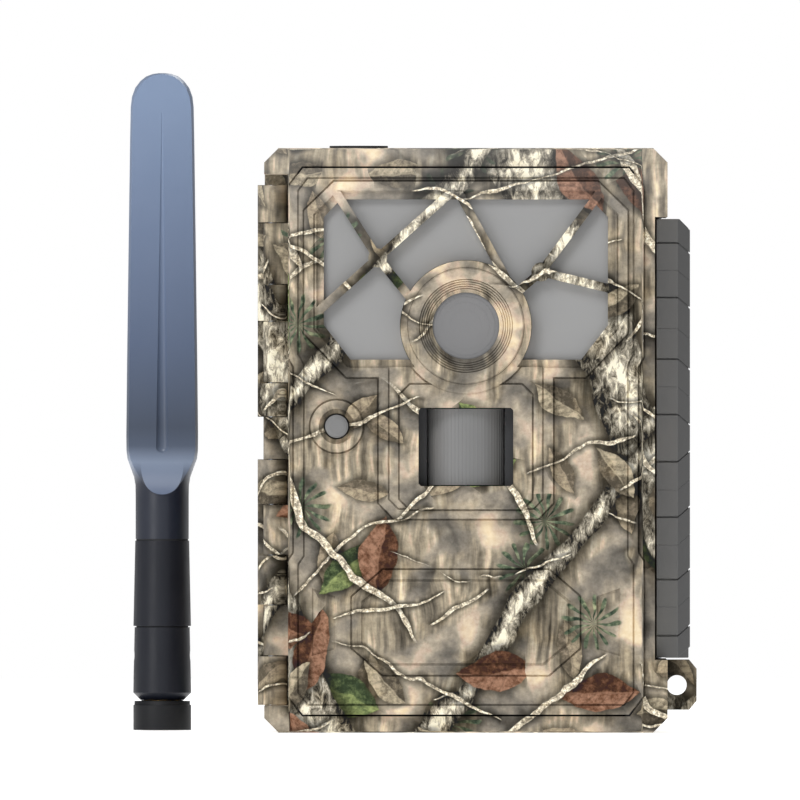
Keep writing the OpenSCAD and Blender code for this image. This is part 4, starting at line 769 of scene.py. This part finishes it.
print("antenna paddle")
paddleLook = {
    # height, half width, half depth, all in mm
    "stations": [(46.8, 6.5, 6.5), (57.0, 6.5, 6.5), (60.0, 6.55, 6.5), (62.0, 6.9, 6.9), (64.2, 7.7, 8.0),
                 (66.4, 8.5, 9.2), (68.4, 8.74, 10), (72.0, 8.79, 10), (90.0, 8.6, 10), (120.0, 8.2, 10),
                 (145.0, 7.85, 10), (152.5, 7.7, 9.5), (155.0, 7.4, 8.8), (157.2, 6.6, 7.8),
                 (158.9, 5.3, 6.4), (160.0, 3.9, 5.0), (160.6, 2.3, 3.2), (160.79, 0.9, 1.5)],
    # mm: half the blade's thickness, and the roller that scoops the neck
    "flat": 3.7, "scoopR": 12.9, "scoopTop": 65.6, "scoopWide": 40, "scoopLong": 100,
    # mm: the long slot, deep and round at its foot and fine at its tip
    "slotLow": 69.4, "slotHigh": 151, "slotR": 2.05, "slotDeep": 0.7, "slotTip": 0.16,
}
bladeLow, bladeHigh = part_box("antenna_blade")
axisX, axisY = (bladeLow[0] + bladeHigh[0]) / 2 / mm, (bladeLow[1] + bladeHigh[1]) / 2 / mm
stations = paddleLook["stations"]
clearSelection()
bpy.ops.mesh.primitive_circle_add(vertices=64, radius=stations[0][1] * mm, fill_type="NGON",
                                  location=(axisX * mm, axisY * mm, stations[0][0] * mm))
paddle = bpy.context.active_object
bpy.ops.object.transform_apply(location=True, rotation=True, scale=True)
bpy.ops.object.mode_set(mode="EDIT")
bpy.ops.mesh.select_all(action="SELECT")
for (lowZ, lowWide, lowDeep), (highZ, wide, deep) in zip(stations, stations[1:]):
    bpy.ops.mesh.extrude_region_move(TRANSFORM_OT_translate={"value": (0, 0, (highZ - lowZ) * mm)})
    bpy.ops.transform.resize(value=(wide / lowWide, deep / lowDeep, 1),
                             center_override=(axisX * mm, axisY * mm, highZ * mm))
bpy.ops.mesh.select_all(action="SELECT")
bpy.ops.mesh.normals_make_consistent(inside=False)
bpy.ops.object.mode_set(mode="OBJECT")
for side in (-1, 1):
    # a big roller leaves the flat face and the scoop that runs out into the round neck
    clearSelection()
    rollerY = axisY + side * (paddleLook["flat"] + paddleLook["scoopR"])
    bpy.ops.mesh.primitive_cylinder_add(vertices=160, radius=paddleLook["scoopR"] * mm,
                                        depth=paddleLook["scoopWide"] * mm,
                                        rotation=(0, math.radians(90), 0),
                                        location=(axisX * mm, rollerY * mm, paddleLook["scoopTop"] * mm))
    roller = bpy.context.active_object
    bpy.ops.object.transform_apply(location=True, rotation=True, scale=True)
    bpy.ops.object.mode_set(mode="EDIT")
    bpy.ops.mesh.select_all(action="SELECT")
    bpy.ops.mesh.bisect(plane_co=(0, 0, paddleLook["scoopTop"] * mm), plane_no=(0, 0, 1), clear_outer=True,
                        use_fill=True)
    cutFrom = (paddleLook["scoopTop"] - 0.1) * mm
    pickFaces(roller, lambda middle, normal: normal.z > 0.9 and middle.z > cutFrom)
    bpy.ops.mesh.extrude_region_move(TRANSFORM_OT_translate={"value": (0, 0, paddleLook["scoopLong"] * mm)})
    bpy.ops.object.mode_set(mode="OBJECT")
    hollowed(paddle, roller)
    # the long slot is a round-ended reamer that narrows towards the tip
    slotTip = paddleLook["slotTip"]
    clearSelection()
    lowAway = side * (paddleLook["flat"] + paddleLook["slotR"] - paddleLook["slotDeep"])
    slotFoot = (axisX * mm, (axisY + lowAway) * mm, paddleLook["slotLow"] * mm)
    bpy.ops.mesh.primitive_uv_sphere_add(segments=32, ring_count=16, radius=paddleLook["slotR"] * mm,
                                         location=slotFoot)
    reamer = bpy.context.active_object
    bpy.ops.object.transform_apply(location=True, rotation=True, scale=True)
    pickFaces(reamer, lambda middle, normal: middle.z > paddleLook["slotLow"] * mm)
    rise = paddleLook["slotHigh"] - paddleLook["slotLow"]
    highAway = side * (paddleLook["flat"] + slotTip * 0.5)
    bpy.ops.transform.resize(value=[slotTip / paddleLook["slotR"]] * 3, center_override=slotFoot)
    bpy.ops.transform.translate(value=(0, (highAway - lowAway) * mm, rise * mm))
    bpy.ops.object.mode_set(mode="OBJECT")
    hollowed(paddle, reamer)
finishPiece(paddle, "antennaPaddle", "antenna_blade", edge=0.25 * mm, angle=35, bends=32)

print("coupling")
couplingLook = {
    # (inset mm, move mm): wall, chamfer, shoulder and the dip round the plug
    "turned": [(0, 6.2), (0.28, 0.95), (1.7, 0.2), (0.6, -1.4)],
    # the shadow rings are painted shade: dark rings fill the gaps at the neck and the foot of the antenna,
    # where there is only shade; they stand this much inside the sleeve, in mm; their bottoms and heights are
    # z in mm
    "shadowRingInset": 0.75, "neckShadowRing": (46.3, 0.52), "footShadowRing": (25.12, 0.4),
}
sleeveLow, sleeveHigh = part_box("coupling_sleeve")
sleeveR = (sleeveHigh[0] - sleeveLow[0]) / 2 / mm
coupling = steppedDisc((axisX * mm, axisY * mm, sleeveLow[2]), sleeveR - 0.02, couplingLook["turned"],
                       towards="up", bore=True)
finishPiece(coupling, "couplingSleeve", "coupling_sleeve", edge=0.3 * mm, bends=40)

# painted shade: black rubber rings in the two gaps of the antenna
shadowRingR = sleeveR - couplingLook["shadowRingInset"]
foot, height = couplingLook["neckShadowRing"]
neckGap = steppedDisc((axisX * mm, axisY * mm, foot * mm), shadowRingR, [(0, height)], sides=64, towards="up")
finishPiece(neckGap, "neckShadowRing", "antenna_elbow", "black_rubber", stands=False)
foot, height = couplingLook["footShadowRing"]
footGap = steppedDisc((axisX * mm, axisY * mm, foot * mm), shadowRingR, [(0, height)], sides=64, towards="up")
bpy.ops.object.mode_set(mode="EDIT")
bpy.ops.mesh.select_all(action="SELECT")
bpy.ops.mesh.bisect(plane_co=(0, axisY * mm, 0), plane_no=(0, 1, 0), clear_outer=True, use_fill=True)
bpy.ops.object.mode_set(mode="OBJECT")
finishPiece(footGap, "footShadowRing", "antenna_knuckle", "black_rubber", stands=False)

print("latch scales")
latchLook = {
    # mm: left edge, fold and front of the scales, their thickness, how far the cheek turns back, how far
    # its edges slope, and the seam between two scales
    "left": 46.5, "fold": 51.6, "front": -22.35, "depth": 1.6, "turnBack": 3.05, "slope": 2.6, "gap": 0.4,
    # lower edge, upper edge, slope of both edges over the chamfer, share left of the outer end
    "scales": [(119.1, 124.8, -1, 1), (112.4, 119.1, -1, 1), (105.8, 112.4, -1, 1), (98.2, 105.8, -1, 1),
               (90.8, 98.2, -1, 1), (84.0, 90.8, -1, 1), (77.3, 84.0, -1, 1), (65.8, 77.3, 0, 0.55),
               (58.9, 65.8, 1, 1), (52.3, 58.9, 1, 1), (45.5, 52.3, 1, 1), (37.1, 45.5, 1, 1),
               (30.4, 37.1, 1, 1), (23.4, 30.4, 1, 1), (18.1, 23.4, 1, 1)],
    "seams": [119.1, 105.8, 90.8, 77.3, 65.8, 52.3, 37.1, 23.4],
}
scales = []
for low, high, slope, share in latchLook["scales"]:
    lowEnd = low + (latchLook["gap"] / 2 if low in latchLook["seams"] else 0)
    highEnd = high - (latchLook["gap"] / 2 if high in latchLook["seams"] else 0)
    scale = blockPiece((latchLook["left"], latchLook["front"], lowEnd),
                       (latchLook["fold"], latchLook["front"] + latchLook["depth"], highEnd))
    pickFaces(scale, lambda middle, normal: normal.x > 0.9)
    bpy.ops.mesh.extrude_region_move(TRANSFORM_OT_translate={"value": (
        latchLook["turnBack"] * mm, latchLook["turnBack"] * mm, slope * latchLook["slope"] * mm)})
    bpy.ops.transform.resize(value=(1, 1, share), center_override=(0, 0, (lowEnd + highEnd) / 2 * mm))
    bpy.ops.object.mode_set(mode="OBJECT")
    scales.append(scale)
latchScales = joined(scales)
finishPiece(latchScales, "latchScales", "latch", edge=0.12 * mm, stands=False)

print("indicator")
indicatorLook = {
    "radius": 4.05,                             # mm
    "flange": 1.6, "shoulder": 1.25,            # mm deep, and mm narrower in front of it
    "tip": [(0.35, 0.2), (0.6, 0.1)],           # (inset mm, move mm)
    "short": 1.9,                               # mm of depth taken by flange and tip
}
indicatorLow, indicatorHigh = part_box("indicator_lens")
indicatorX = (indicatorLow[0] + indicatorHigh[0]) / 2
indicatorZ = (indicatorLow[2] + indicatorHigh[2]) / 2
indicatorBack = indicatorHigh[1]
stem = (indicatorBack - indicatorLow[1]) / mm - indicatorLook["short"]
lightPipe = steppedDisc((indicatorX, indicatorBack, indicatorZ), indicatorLook["radius"],
                        [(0, indicatorLook["flange"]), (indicatorLook["shoulder"], stem),
                         *indicatorLook["tip"]], sides=64)
finishPiece(lightPipe, "indicatorLightPipe", "indicator_lens", edge=0.08 * mm)

print("finish")
